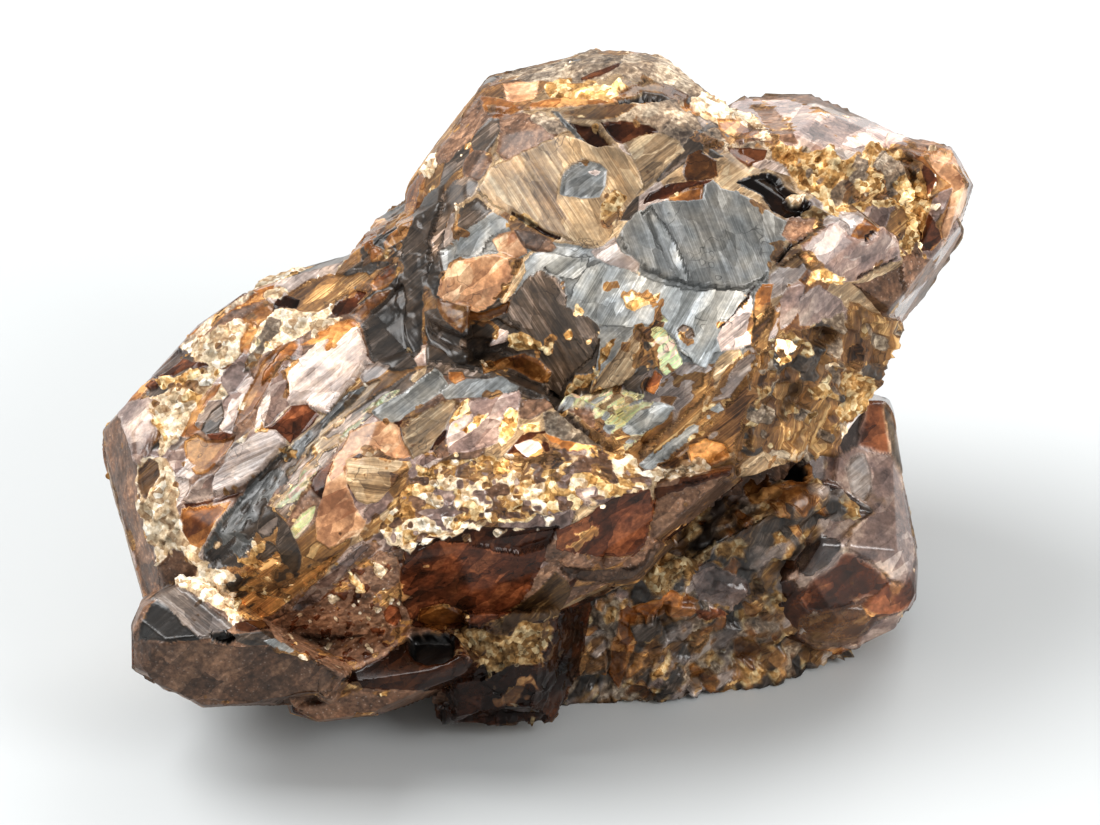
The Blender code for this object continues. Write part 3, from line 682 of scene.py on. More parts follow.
CREST = Crystal("crest", (810, 175, -3.5), facets("""
    1.0 28 800 190 0.6; 2.6 45 880 215 -0.6; 0.9 74 860 135 -3.0; 11.9 80 790 110 -4.0; 0.8 84 890 138 -4.0;
    2.2 88 950 200 -3.0; 4.2 84 916 285 -2.5; 6.5 70 830 300 -1.0; 9.5 60 700 160 -1.5;
    10.6 85 725 118 -4.0; 12.0 140 810 120 -8.0; 2.5 125 900 190 -7.5; 6.0 150 800 230 -8.5;
    9.5 125 730 190 -7.5"""), (F.MAUVE, F.LILAC, F.MAUVE, F.FROSTED),
    (F.FROSTED, F.MAROON, F.FIBROUS, F.MAUVE, F.TAN), cells=76, mosaic=50)
END = Crystal("end", (935, 205, -3.2), facets("""
    1.5 30 945 190 -1.7; 9.0 35 930 200 -1.5; 4.4 38 945 230 -1.8; 0.5 75 940 149 -3.0; 2.0 84 966 172 -3.0;
    3.7 82 966 200 -3.0; 4.3 84 947 240 -3.0; 6.5 80 915 298 -3.0; 9.0 85 890 210 -3.0;
    12.0 130 935 180 -5.2; 3.0 130 940 210 -5.2; 7.0 140 930 230 -5.4"""), (F.FROSTED, F.AMBER, F.MAUVE),
    (F.FROSTED, F.MAROON, F.AMBER), cells=34, seeds=8, mosaic=14)
LEFT = Crystal("left", (240, 440, -1.5), facets("""
    10.6 22 250 440 1.2; 8.3 30 190 520 1.4; 11.6 40 290 350 0.6; 9.0 66 128 430 -0.3; 8.5 68 150 520 0.8;
    10.4 64 178 372 -0.4; 8.9 88 104 455 -1.4; 8.5 88 122 520 -1.0; 8.0 84 142 590 0.5; 10.4 88 150 378 -1.6;
    10.9 88 215 314 -1.8; 11.4 84 330 262 -2.2; 2.8 70 430 330 -0.5; 4.6 75 330 520 0.0; 6.2 80 220 625 1.0;
    10.5 135 170 400 -4.6; 8.0 130 150 520 -4.2; 0.0 132 300 330 -5.6; 4.5 140 300 480 -5.2"""),
    (F.FROSTED, F.MAUVE, F.CREAM, F.AMBER, F.FROSTED, F.SLATE, F.LILAC), GROWN_OVER, cells=106, mosaic=160)
SPINE = Crystal("spine", (395, 260, -2.0), facets("""
    9.8 38 400 260 0.2; 11.0 60 420 190 -0.3; 10.4 80 374 215 -1.8; 10.9 82 330 262 -2.0;
    11.6 84 410 180 -1.8; 10.3 88 424 165 -1.6; 8.0 70 362 345 0.0; 6.0 70 410 385 0.5; 3.0 80 480 270 0.0;
    12.0 130 410 200 -4.5; 9.5 130 360 290 -4.6; 6.0 140 410 330 -4.8"""),
    (F.FIBROUS, F.SLATE, F.AMBER, F.SLATE), (F.FIBROUS, F.AMBER, F.MAROON, F.CREAM),
    cells=70, seeds=18, mosaic=60, lumps=0.05)
LOWER = Crystal("lower", (430, 500, 0.5), facets("""
    11.8 22 470 455 3.4; 6.3 8 500 500 3.6; 10.4 42 300 470 2.2; 9.6 24 345 500 3.3; 8.3 27 330 560 3.2;
    1.4 40 600 440 2.9; 7.3 38 365 575 3.3; 6.1 55 400 575 3.3; 5.8 50 480 540 3.5; 5.0 52 600 512 3.3;
    10.3 84 235 500 0.8; 11.3 80 370 362 0.8; 0.7 80 560 392 1.0; 1.7 84 650 440 1.0; 3.3 84 657 500 1.4;
    5.1 84 600 585 1.6; 5.9 86 500 626 1.6; 6.5 82 370 664 1.0; 8.2 80 245 610 1.8; 9.4 86 202 552 1.2;
    6.0 128 480 626 0.2; 3.5 130 620 510 -1.2; 8.6 130 260 570 0.0; 11.0 140 380 420 -3.0;
    6.0 172 450 500 -3.2"""), (F.FROSTED, F.MAUVE, F.FROSTED, F.TAN, F.MAROON, F.FIBROUS),
    GROWN_OVER, cells=124, drawn=1.6, mosaic=150)
SHELF = Crystal("shelf", (690, 505, 0.6), facets("""
    5.0 14 690 500 2.0; 3.0 80 735 490 1.0; 11.7 80 690 470 1.0; 5.0 82 700 520 1.2; 4.7 80 650 545 1.2;
    9.0 80 600 510 1.0; 5.0 150 690 510 -0.4"""), (F.FROSTED, F.FIBROUS, F.MAROON), (F.FROSTED, F.MAROON),
    cells=34, seeds=6, mosaic=20)
RIMMED = Crystal("rimmed", (600, 560, 0.4), facets("""
    5.6 20 600 562 1.7; 4.4 80 652 558 1.0; 5.7 82 600 583 1.2; 1.5 80 640 520 1.0; 9.0 80 540 550 1.0;
    11.5 80 590 500 1.0; 5.5 150 600 560 -0.6"""), (F.FROSTED, F.FIBROUS, F.MAROON), (F.FROSTED, F.MAROON),
    cells=34, seeds=6, mosaic=20)
CORNER = Crystal("corner", (235, 645, 1.2), facets("""
    6.4 38 240 655 3.2; 11.4 48 190 620 2.9; 8.9 50 150 640 2.6; 0.8 38 270 625 3.2; 4.4 50 325 665 3.3;
    11.0 84 165 592 1.4; 1.0 82 250 612 1.6; 2.3 80 345 655 1.6; 4.4 84 340 690 1.8; 5.9 86 260 702 1.8;
    7.0 86 165 684 1.4; 8.9 88 134 645 1.2; 9.8 86 142 607 1.2; 6.3 128 240 690 0.2; 9.0 130 145 640 -0.4;
    3.5 140 320 660 -0.6; 0.0 150 240 620 -2.2"""), (F.FROSTED,), (F.FROSTED, F.SLATE, F.FROSTED, F.MAROON),
    cells=70, seeds=12)
KEEL = Crystal("keel", (380, 680, 0.0), facets("""
    6.5 40 390 690 1.4; 11.0 40 400 660 1.5; 5.4 60 440 695 0.9; 8.6 84 292 705 0.4; 6.6 86 325 722 0.5;
    5.3 84 354 720 0.4; 5.9 86 400 713 0.2; 4.4 80 462 690 0.0; 1.5 80 470 640 0.0; 12.0 80 390 620 0.0;
    6.0 135 380 700 -1.4; 11.5 140 380 640 -2.6"""), (F.FROSTED, F.MAROON, F.FIBROUS),
    (F.FROSTED, F.MAROON), cells=44, seeds=8, mosaic=24)
BELLY = Crystal("belly", (500, 660, -1.2), facets("""
    6.3 30 500 680 0.4; 8.8 70 452 680 -0.4; 5.9 78 500 716 -0.6; 3.6 70 548 690 -0.6; 0.0 80 500 600 -0.6;
    6.0 140 500 700 -2.4; 12.0 150 500 640 -3.6"""), (F.MAROON, F.FIBROUS, F.MAROON),
    (F.MAROON, F.FIBROUS), cells=56, seeds=8, mosaic=30, lumps=0.16, shade=-0.3)
BACK = Crystal("back", (620, 330, -7.0), facets("""
    12.0 100 620 150 -7.0; 2.0 105 800 230 -7.0; 4.2 105 800 400 -6.5; 6.0 95 600 520 -6.0;
    8.0 105 440 420 -6.0; 10.0 105 440 240 -6.5; 12.0 140 600 230 -10.3; 3.0 145 740 300 -10.2;
    6.0 150 620 420 -10.0; 9.5 145 500 320 -9.8; 12.0 0 620 330 -2.4"""), (F.FROSTED,), GROWN_OVER,
    cells=60, drawn=1.0, seeds=40)
HIDDEN_LOOKS = (F.MAROON, F.FROSTED, F.MAUVE, F.MAROON, F.FROSTED)
CLUSTER = (DOME, CREST, END, LEFT, SPINE, LOWER, SHELF, RIMMED, CORNER, KEEL, BELLY, BACK) + tuple(
    WholeCrystal(name, centre, (), (F.MAROON,), HIDDEN_LOOKS,
                 cells=46, drawn=1.0, seeds=14, reach=reach, turn=turn)
    for name, centre, reach, turn in (
        ("back_upper", (565, 215, -8.0), 3.3, (20, 35, 10)),
        ("back_right", (735, 300, -8.6), 2.9, (50, 10, 40)),
        ("back_left", (430, 330, -6.2), 2.7, (5, 60, 25)),
        ("back_lower", (640, 400, -9.4), 2.5, (70, 20, 60))))
REAR = Crystal("rear_garnet", (825, 545, -5.8), facets("""
    1.6 34 850 500 -3.3; 9.6 38 790 520 -3.2; 4.4 30 860 565 -3.0; 6.6 42 810 600 -3.1; 2.6 66 900 500 -4.2;
    5.4 62 850 630 -4.0; 2.7 88 906 470 -5.6; 2.2 86 890 400 -5.6; 3.1 88 921 560 -5.6; 4.0 86 912 612 -5.6;
    5.3 84 850 656 -5.4; 6.6 82 780 640 -5.2; 9.0 84 735 520 -5.6; 0.0 86 820 400 -6.0; 2.5 125 890 500 -8.4;
    5.0 120 860 600 -7.4; 12.0 140 820 440 -9.6; 8.0 140 760 540 -8.8"""), (F.MAROON, F.MAUVE, F.MAROON),
    (F.MAROON, F.MAUVE, F.MAROON, F.AMBER), cells=64, seeds=14, mosaic=22)
MATRIX = Crystal("skarn_matrix", (620, 600, -5.0), facets("""
    6.2 34 660 640 -2.2; 7.8 46 580 660 -2.4; 4.6 40 740 610 -2.8; 11.5 40 640 540 -1.8; 8.9 80 545 680 -3.0;
    3.2 84 860 600 -7.0; 1.5 84 820 450 -7.5; 12.0 88 640 330 -9.0; 10.0 96 420 420 -8.0;
    8.4 100 350 560 -8.0; 12.0 150 600 380 -13.4; 2.5 140 800 440 -12.0;
    9.0 140 420 470 -12.0; 6.0 125 620 673.7 -5.0"""),
    (F.WEATHERED, F.FIBROUS, F.MAUVE, F.WEATHERED, F.SLATE),
    (F.WEATHERED, F.OCHRE, F.WEATHERED, F.FIBROUS, F.WEATHERED, F.AMBER, F.SLATE, F.CREAM),
    cells=98, drawn=1.0, seeds=90, edge=40.0, mosaic=160, lumps=0.32, shade=-0.2)
FOOT = Crystal("skarn_foot", (450, 560, -8.0), facets("""
    9.2 88 345 560 -8.0; 3.0 90 640 560 -8.0; 6.4 62 420 610 -6.2; 11.0 60 420 470 -5.5;
    9.0 140 380 500 -11.5; 12.0 150 480 440 -12.5; 6.0 125 450 603.7 -8.0"""), (F.WEATHERED,),
    (F.WEATHERED, F.OCHRE, F.WEATHERED, F.FIBROUS, F.AMBER, F.SLATE),
    cells=64, drawn=1.0, seeds=50, edge=40.0, lumps=0.4, shade=-0.3)

# Patches of the intergrown crystals, the lowest first, as they lie over each other
CLUSTER_PATCHES = (
    # Grounds of the dome: grey in the middle, charcoal at the left foot, tan and brown at the right foot
    *patches("""
    PEWTER tone=-0.1: 440,250 480,225 520,235 600,250 650,215 760,230 770,290 740,360 700,372 600,400
        540,350 450,330;
    SLATE tone=0.25: 425,312 462,300 520,300 560,300 600,340 590,400 556,410 480,380 428,372;
    FIBROUS tone=0.1 / LILAC share=0.3 tone=-0.1: 590,390 640,370 700,365 760,350 760,400 735,450 690,475
        620,470"""),
    # Ridge and left wall of the dome, with a sunken slate slit under the ridge painted near black as shade
    *patches("""
    WEATHERED: 498,73 520,69 560,62 590,54 640,56 662,55 690,66 706,84 716,98 745,120 735,128 712,118 690,98
        662,84 620,74 585,84 560,86 530,82 505,80;
    FROSTED tone=0.1: 500,73 490,84 470,106 440,142 436,165 448,162 462,146 485,122 498,112 482,108 484,92
        500,82;
    CREAM: 418,160 425,148 434,142 438,150 434,172 426,178;
    PEACH run=3 tone=0.3: 503,84 540,80 536,100 508,103;
    AMBER tone=0.1: 480,98 500,100 520,104 545,102 580,92 592,94 640,96 690,104 700,116 680,110 650,102
        600,104 560,108 520,112 496,112 484,112;
    OCHRE tone=0.1: 545,86 575,80 590,84 610,88 620,78 630,86 612,100 580,100 548,98;
    AMBER tone=-0.7: 618,92 632,84 648,80 668,86 690,96 684,104 660,94 640,92 622,98;
    MAROON: 580,79 600,70 622,63 620,68 600,76 584,82;
    WEATHERED tone=0.1: 596,118 612,104 640,102 676,100 690,112 700,128 680,150 660,134 640,124 620,122
        602,122;
    FIBROUS tone=-0.4: 560,112 600,104 616,102 640,104 628,112 612,118 598,120 575,116;
    SLATE tone=-0.7 lift=-0.3: 616,98 640,95 664,98 668,101 640,101 620,103;
    FROSTED tone=0.1: 498,116 515,112 535,116 556,124 560,134 545,148 525,154 505,160 494,150 500,130;
    WEATHERED: 540,112 560,118 590,124 575,132 556,136 542,130 530,120"""),
    # Dark maroon windows in the recess under the rim, darkened as painted shade, and the light slats across
    # them
    *patches("""
    MAROON tone=-0.5 lift=-0.25: 570,122 582,124 600,126 616,144 606,148 594,148 580,134;
    MAROON tone=-0.2 lift=-0.15: 602,122 620,119 648,124 660,130 640,136 622,142 612,138;
    PEWTER tone=-1.1: 552,112 558,112 592,148 588,150;
    TAN: 596,124 602,123 622,150 650,186 646,190 616,152;
    TAN tone=-0.4: 622,142 642,134 660,132 680,142 686,150 672,162 660,176 645,190 640,184 632,160;
    TAN run=4.9 tone=-0.1 lift=0.08: 476,193 484,178 492,166 520,155 545,143 562,136 580,140 600,148 616,146
        632,160 645,188 636,198 622,214 612,236 604,244 590,247 575,243 560,236 545,232 530,226 512,218
        500,210 490,202;
    PEWTER tone=-0.3: 560,196 563,176 572,165 585,161 600,165 607,172 606,188 600,198 580,199;
    LILAC tone=0.4: 587,172 596,170 602,173 596,176;
    OCHRE tone=-0.3: 612,192 630,196 624,206 612,230 604,226 600,210"""),
    # Left shoulder of the dome
    *patches("""
    SLATE tone=0.3: 470,140 478,128 490,118 498,116 500,128 494,142 486,152 474,150;
    FROSTED tone=-0.1: 462,172 465,158 476,150 490,152 492,160 486,172 478,182 466,180;
    SLATE tone=0.9: 430,222 440,200 452,182 466,176 478,184 474,196 456,206 444,230 434,262 426,262;
    SLATE tone=0.2: 455,232 462,208 478,198 494,212 480,222 460,234;
    PEWTER tone=-0.1: 452,256 456,236 480,222 494,214 508,222 512,232 492,236 486,244 480,256;
    PEACH tone=0.1: 490,240 498,234 516,230 524,240 526,252 508,262 496,250;
    FROSTED tone=-0.2: 514,230 530,231 548,238 556,246 552,251 538,252 524,248;
    PEACH tone=0.2 lift=0.14: 438,296 442,280 452,262 458,259 500,253 520,260 516,272 508,286 496,302
        480,311 460,306;
    TAN run=1.2 tone=0.6: 500,300 512,280 522,256 530,250 536,252 528,270 514,292 506,304;
    PEWTER tone=0.25: 524,262 532,252 552,252 572,258 590,256 586,270 575,280 556,278 545,268 536,276
        524,286 516,290 526,272;
    LILAC tone=-0.1: 590,250 604,246 616,236 622,250 640,262 636,276 620,268 604,262"""),
    # The great dark face and its streaks
    *patches("""
    PEWTER run=5.3 tone=-0.35 lift=0.14: 618,238 625,226 634,216 650,206 668,202 690,202 700,200 703,186
        712,181 720,188 732,190 752,199 776,216 790,224 786,238 776,252 770,270 758,283 740,289 715,288
        690,286 668,280 650,272 636,262 626,250;
    PEWTER run=5.3: 640,216 650,210 664,226 676,248 684,268 690,284 676,280 660,252 650,232;
    PEWTER run=1 tone=0.3 lift=0.06: 600,262 620,268 640,274 660,284 690,290 742,290 752,300 740,330 735,352
        712,352 706,368 692,362 680,350 672,335 650,325 620,327 598,326 580,312 566,306 572,290 585,270;
    OCHRE tone=0.3: 622,296 634,294 650,297 662,294 658,302 640,305 634,311 626,304;
    SLATE tone=0.7: 676,330 682,324 692,328 694,336 686,340 680,334"""),
    # Charcoal faces in the middle
    *patches("""
    SLATE tone=0.1: 425,312 440,308 462,322 500,318 520,330 545,350 560,372 556,402 520,390 480,372 450,366
        428,362;
    SLATE run=5 tone=0.6: 516,292 528,278 540,270 556,276 566,286 566,306 580,312 596,324 600,330 596,345
        590,360 575,372 562,386 556,405 548,398 540,380 525,362 500,352 508,340 524,330 510,318 505,306;
    SLATE tone=0.3 lift=-0.2: 428,318 446,330 470,338 500,340 520,336 506,346 480,352 450,348 430,336;
    AMBER tone=-0.35: 438,298 460,306 480,312 500,306 512,300 508,312 494,318 472,320 462,334 452,326
        440,312;
    OCHRE: 508,334 524,332 542,342 545,352 520,352 508,346;
    OCHRE: 540,350 552,338 556,344 550,358 542,356;
    OCHRE tone=0.6: 566,334 570,330 574,336 568,341;
    OCHRE tone=0.4: 586,338 591,336 592,343 587,344;
    LILAC tone=0.5: 494,336 500,328 510,331 506,342 494,346 486,348;
    AMBER tone=-0.2: 480,366 500,358 524,354 540,362 550,374 545,384 530,378 510,368 484,374;
    TAN run=1.2 tone=-0.1 lift=0.14: 588,392 600,374 620,350 636,328 642,334 642,350 636,370 625,384
        608,388;
    OCHRE tone=-0.25: 562,394 575,378 596,370 600,345 615,340 604,360 590,384 568,398;
    SLATE tone=0.15: 640,334 652,344 660,358 650,372 640,388 645,398 625,392 620,384 636,372 644,352;
    RAINBOW tone=0.3: 636,326 650,328 660,312 668,320 662,326 676,344 682,362 678,374 664,376 656,362
        652,346;
    AMBER tone=0.8: 646,392 650,380 656,370 664,378 654,396;
    LILAC tone=-0.35: 660,380 684,362 704,366 702,385 680,398 656,398;
    RAINBOW run=2 tone=0.25 lift=0.12: 560,402 580,396 606,390 624,390 645,396 640,402 660,404 672,410
        660,424 640,440 622,453 612,446 600,436 596,420 578,410;
    TAN share=0.3 fleck=0.2 run=2 / PEWTER share=0.2 fleck=0.2 run=2 tone=0.2: 560,402 606,390 672,410
        640,440 612,446 578,410;
    PEWTER tone=0.4: 620,430 640,410 662,404 676,408 664,424 640,436 622,436;
    FROSTED tone=0.3: 590,412 604,432 622,452 606,440 580,416 562,406"""),
    # Diagonal bands at the right foot of the dome
    *patches("""
    FIBROUS: 640,452 700,400 720,372 750,350 760,362 750,380 712,420 680,452 650,470;
    TAN tone=0.3: 700,410 715,360 735,345 742,352 722,376 706,408;
    LILAC tone=-0.3: 712,402 740,362 756,352 760,362 730,398;
    OCHRE: 684,430 700,410 720,404 712,420 700,436 688,440;
    PEWTER tone=0.2: 640,462 720,402 724,408 650,470;
    AMBER tone=0.45: 690,446 706,438 724,444 730,456 718,464 700,470 690,462;
    AMBER tone=0.6: 755,296 762,284 774,284 770,304 762,322 754,318;
    LILAC tone=0.7: 722,352 716,336 728,316 744,302 752,296 754,320 752,345;
    CREAM: 640,472 680,466 705,458 712,468 690,476 655,480"""),
    # Crest, with a deep hollow whose maroon is painted near black as shade
    *patches("""
    MAUVE tone=0.3: 720,98 745,98 790,100 830,114 870,122 900,132 914,145 890,150 860,148 830,150 800,152
        775,138 760,120 745,118;
    FROSTED tone=0.25: 750,104 775,108 790,125 800,145 780,140 764,122;
    CREAM tone=0.1: 700,90 715,98 735,112 755,118 765,130 776,138 765,142 745,135 720,128 705,118 690,104;
    AMBER tone=0.15: 716,118 735,120 748,128 760,132 750,138 735,136 720,130;
    WEATHERED: 700,132 715,128 725,136 740,144 756,142 775,146 790,150 770,158 756,150 735,146 728,150
        716,145 702,142;
    MAROON tone=-0.2: 726,148 745,148 768,150 764,160 750,166 738,158;
    SLATE tone=-0.5: 700,145 715,148 724,156 712,158;
    AMBER tone=-0.9: 688,155 700,150 716,160 718,176 706,182 688,184 682,172;
    MAROON tone=0.1: 650,192 670,184 690,182 705,182 716,180 700,190 680,196 655,200 642,204;
    AMBER: 668,198 690,188 702,186 702,200 680,202;
    OCHRE tone=-0.05 rough=0.16: 775,140 800,150 830,150 850,158 870,148 900,150 915,156 930,172 926,190
        930,205 920,235 905,262 900,250 910,225 905,205 890,205 870,205 850,212 832,215 815,198 800,190
        790,175 776,160 770,150;
    WEATHERED share=0.4: 790,150 830,150 850,160 900,152 915,165 910,190 870,200 830,205 800,180;
    MAROON tone=-1.8 lift=-0.2: 736,182 752,174 765,171 778,176 785,186 800,196 812,203 806,214 788,218
        772,210 764,196 745,185;
    CREAM tone=0.4 lift=0.2: 785,200 792,196 800,200 808,196 802,206 790,208;
    OCHRE tone=-0.9: 802,214 815,205 830,214 820,220 806,220;
    FIBROUS tone=-0.2: 890,212 905,206 910,220 900,240 885,230;
    LILAC: 840,216 852,210 868,212 862,222 852,232;
    FROSTED tone=0.3: 790,218 815,216 820,224 806,240 790,244 780,236;
    MAUVE tone=0.1 lift=0.12: 820,226 835,224 850,236 868,240 880,228 895,236 900,258 880,265 860,280
        845,282 820,280 806,262 800,246;
    OCHRE tone=0.5: 808,282 815,270 826,268 838,275 845,278 840,285 825,284 812,284;
    OCHRE tone=0.9: 800,256 808,252 816,262 806,266;
    MAUVE tone=0.1: 780,300 790,285 800,280 806,285 800,310 790,325 780,330;
    MAUVE: 800,296 820,286 842,300 850,312 845,320 815,326 800,326 798,310;
    LILAC tone=0.4: 768,340 775,310 780,305 778,330 770,350"""),
    # Fibrous right side, with two sunken pits painted darker as shade
    *patches("""
    FIBROUS run=0.5 lift=0.1 rough=0.17: 790,330 815,328 845,322 850,300 870,310 900,320 896,345 885,350
        893,365 880,385 875,400 850,420 838,420 840,440 832,462 800,465 790,460 760,452 736,462 735,440
        742,420 760,400 752,380 756,355 780,345;
    OCHRE share=0.22 tone=-0.3 / SLATE share=0.22 run=0.5 tone=-0.1 / WEATHERED share=0.2 run=0.5 tone=-0.1:
        756,345 800,330 850,310 900,325 890,360 860,400 835,440 800,460 745,455 745,420;
    FIBROUS run=0.5 tone=-0.5 lift=-0.2 rough=0.2: 800,330 830,326 842,335 830,345 805,345;
    FIBROUS run=0.5 tone=-0.5 lift=-0.2 rough=0.2: 780,385 800,380 800,400 780,420 770,410;
    OCHRE tone=-0.1 rough=0.15: 835,420 838,385 850,372 870,372 880,385 870,405 850,418;
    TAN tone=0.2: 735,470 745,460 762,452 790,462 815,466 830,458 838,440 842,425 846,422 840,445 834,462
        815,470 790,468 762,458 740,470;
    CREAM tone=0.7: 776,342 790,340 798,346 785,352 776,350;
    OCHRE tone=0.6: 775,356 786,352 788,362 780,364"""),
    # Thin cracks
    *patches("""
    MAROON tone=-1 lift=-0.12: 823,221 824,223 806,242 791,247 778,264 776,261 789,244 804,239;
    MAROON tone=-1 lift=-0.12: 756,284 757,286 745,304 721,327 719,325 742,302;
    MAROON tone=-1 lift=-0.12: 856,277 895,256 896,258 858,280;
    MAROON tone=-1 lift=-0.12: 862,239 875,229 876,231 863,242;
    MAROON tone=-1 lift=-0.12: 512,212 530,222 548,232 560,236 560,239 546,235 528,226 511,215"""),
    # Right end
    *patches("""
    MAROON tone=0.5: 920,162 932,170 938,180 930,195 926,210 938,225 942,240 930,250 918,250 922,232 928,215
        926,195 924,180;
    PEACH tone=0.1: 938,152 955,155 962,170 968,190 965,205 950,230 944,245 942,230 950,205 952,185 940,175
        932,165 925,158;
    FROSTED tone=0.3: 900,258 915,252 937,262 932,275 915,290 905,300 902,280"""),
    # Left crystal
    *patches("""
    FROSTED: 98,427 103,418 117,412 123,425 130,442 136,460 140,470 141,490 143,510 150,530 155,560 160,578
        158,590 148,595 143,590 136,560 127,530 120,510 110,480 103,452;
    MAUVE tone=-0.9: 135,382 160,360 180,348 190,352 182,358 172,368 160,376 148,384 140,386;
    WEATHERED tone=0.3: 180,348 190,336 200,326 222,310 240,295 252,290 256,292 240,304 222,316 204,330
        196,338 186,346;
    MAUVE lift=0.14: 117,412 125,406 140,400 152,398 158,400 160,415 158,430 152,445 146,458 141,468 136,460
        130,442 123,425;
    MAROON tone=0.1: 147,388 160,376 175,366 183,358 192,362 205,362 210,366 200,370 188,368 176,374 165,384
        152,390;
    CREAM: 190,352 182,348 196,338 206,334 222,326 240,322 250,326 246,336 240,350 232,362 222,368 210,366
        200,360 192,360;
    CREAM: 166,388 176,376 190,370 205,372 216,366 224,370 220,380 212,388 206,398 200,410 190,420 184,426
        178,436 172,446 166,452 160,456 156,450 160,436 158,420 152,410 156,402 150,396 160,394;
    OCHRE share=0.3 tone=0.1: 160,380 220,365 215,390 195,420 165,450 155,420;
    AMBER: 200,400 206,392 214,384 222,384 218,392 208,402 198,414 194,424 200,430 190,438 180,436 186,424;
    MAUVE tone=-0.2: 222,376 230,366 240,362 248,366 250,372 244,382 236,392 228,394 222,386;
    LILAC tone=0.4: 236,390 244,380 252,376 254,382 248,392 240,392;
    SLATE tone=0.2: 200,430 205,418 212,410 222,402 224,412 222,424 218,434 208,436;
    MAROON tone=0.8: 206,434 220,432 234,434 226,440 212,440;
    LILAC tone=0.4: 228,404 232,398 240,400 238,412 234,424 232,434 224,432 219,427 226,414;
    AMBER tone=0.1: 240,340 252,322 258,328 252,342 246,356 240,352;
    WEATHERED tone=-0.3: 252,350 262,330 270,318 282,322 276,334 266,350 254,364 246,370 244,360;
    AMBER tone=-0.15: 252,380 262,362 276,348 290,340 300,342 290,354 280,366 272,380 262,398 250,414
        240,424 238,414 244,398;
    AMBER tone=0.2: 282,350 292,340 300,345 296,352 286,360 270,376 262,384 264,372;
    MAUVE tone=-0.1: 262,398 272,380 284,366 290,372 288,384 290,400 290,405 282,412 272,426 262,430 258,424
        266,410 270,396;
    LILAC tone=0.25: 258,408 268,392 271,390 270,402 266,416 262,430 254,432 256,418;
    MAROON tone=0.5: 262,430 272,426 286,412 292,405 308,404 314,410 320,414 312,426 300,436 290,444 284,436
        276,430;
    LILAC tone=0.35 lift=0.2: 285,372 288,366 300,358 318,345 330,340 345,335 360,330 364,345 368,358
        372,364 362,374 350,388 338,402 328,414 318,410 308,404 292,406 288,402 289,388;
    AMBER tone=0.2: 300,345 316,336 322,324 336,322 352,318 360,322 362,330 350,334 340,342 332,352 328,356
        326,350 330,342 318,344;
    CREAM tone=-0.1: 310,330 316,322 330,316 346,318 336,324 322,330 312,338;
    LILAC run=2.2 lift=0.2: 212,486 216,474 224,464 232,452 242,444 254,436 264,431 276,430 286,438 288,446
        280,452 270,462 260,474 248,482 236,488 222,494 214,496;
    MAUVE tone=-0.4: 184,500 190,488 200,478 212,474 216,478 212,490 216,496 200,500 188,504;
    MAROON tone=-0.1: 184,504 200,502 220,498 240,492 244,490 236,498 220,502 200,505 186,508;
    AMBER: 184,440 196,434 206,440 222,440 236,436 232,446 222,456 214,466 206,474 196,474 190,466 186,456
        184,448;
    LILAC tone=0.3: 184,462 188,458 196,466 190,470 184,468;
    AMBER tone=0.2: 182,508 200,506 222,504 232,502 226,512 214,526 206,540 200,548 190,545 182,530 180,516;
    CREAM: 140,468 148,458 158,456 166,458 172,470 176,484 178,500 180,520 184,540 196,550 206,556 206,570
        200,576 196,566 186,556 176,548 166,560 158,570 160,556 150,540 146,520 140,504 142,486;
    FIBROUS tone=-0.3: 140,470 150,458 158,462 160,475 150,490 146,500 140,490"""),
    # Ragged edge between the left crystal and the dome
    *patches("""
    FIBROUS: 285,300 292,292 310,280 330,274 350,276 366,272 372,278 360,284 345,294 332,306 318,312 300,312
        288,306;
    MAROON tone=-0.6: 278,300 290,296 300,300 296,310 282,308 272,312 276,304;
    CREAM tone=-0.1: 262,288 280,288 292,294 280,300 264,302;
    MAROON tone=0.2: 330,312 342,298 356,290 368,292 360,302 348,314 336,316;
    AMBER tone=-0.7: 350,315 362,304 376,294 390,288 384,300 372,310 362,320;
    AMBER: 370,284 380,270 392,262 402,262 400,274 390,284 376,292;
    AMBER share=0.5 tone=-0.1: 362,240 378,214 400,192 424,182 430,200 412,222 396,250 376,262;
    SLATE: 398,290 402,250 414,215 430,192 446,184 442,206 430,240 424,290 420,350 410,362 400,330;
    SLATE tone=-0.6: 362,324 376,308 390,292 402,284 405,300 402,320 404,340 412,356 418,366 400,372 384,370
        372,362 368,350;
    LILAC tone=-0.3: 360,378 366,366 380,364 392,368 380,376 364,384"""),
    # Long dark slab of the lower crystal and the bands on it, and a sunken line painted dark as the shadow
    # where the dome meets it
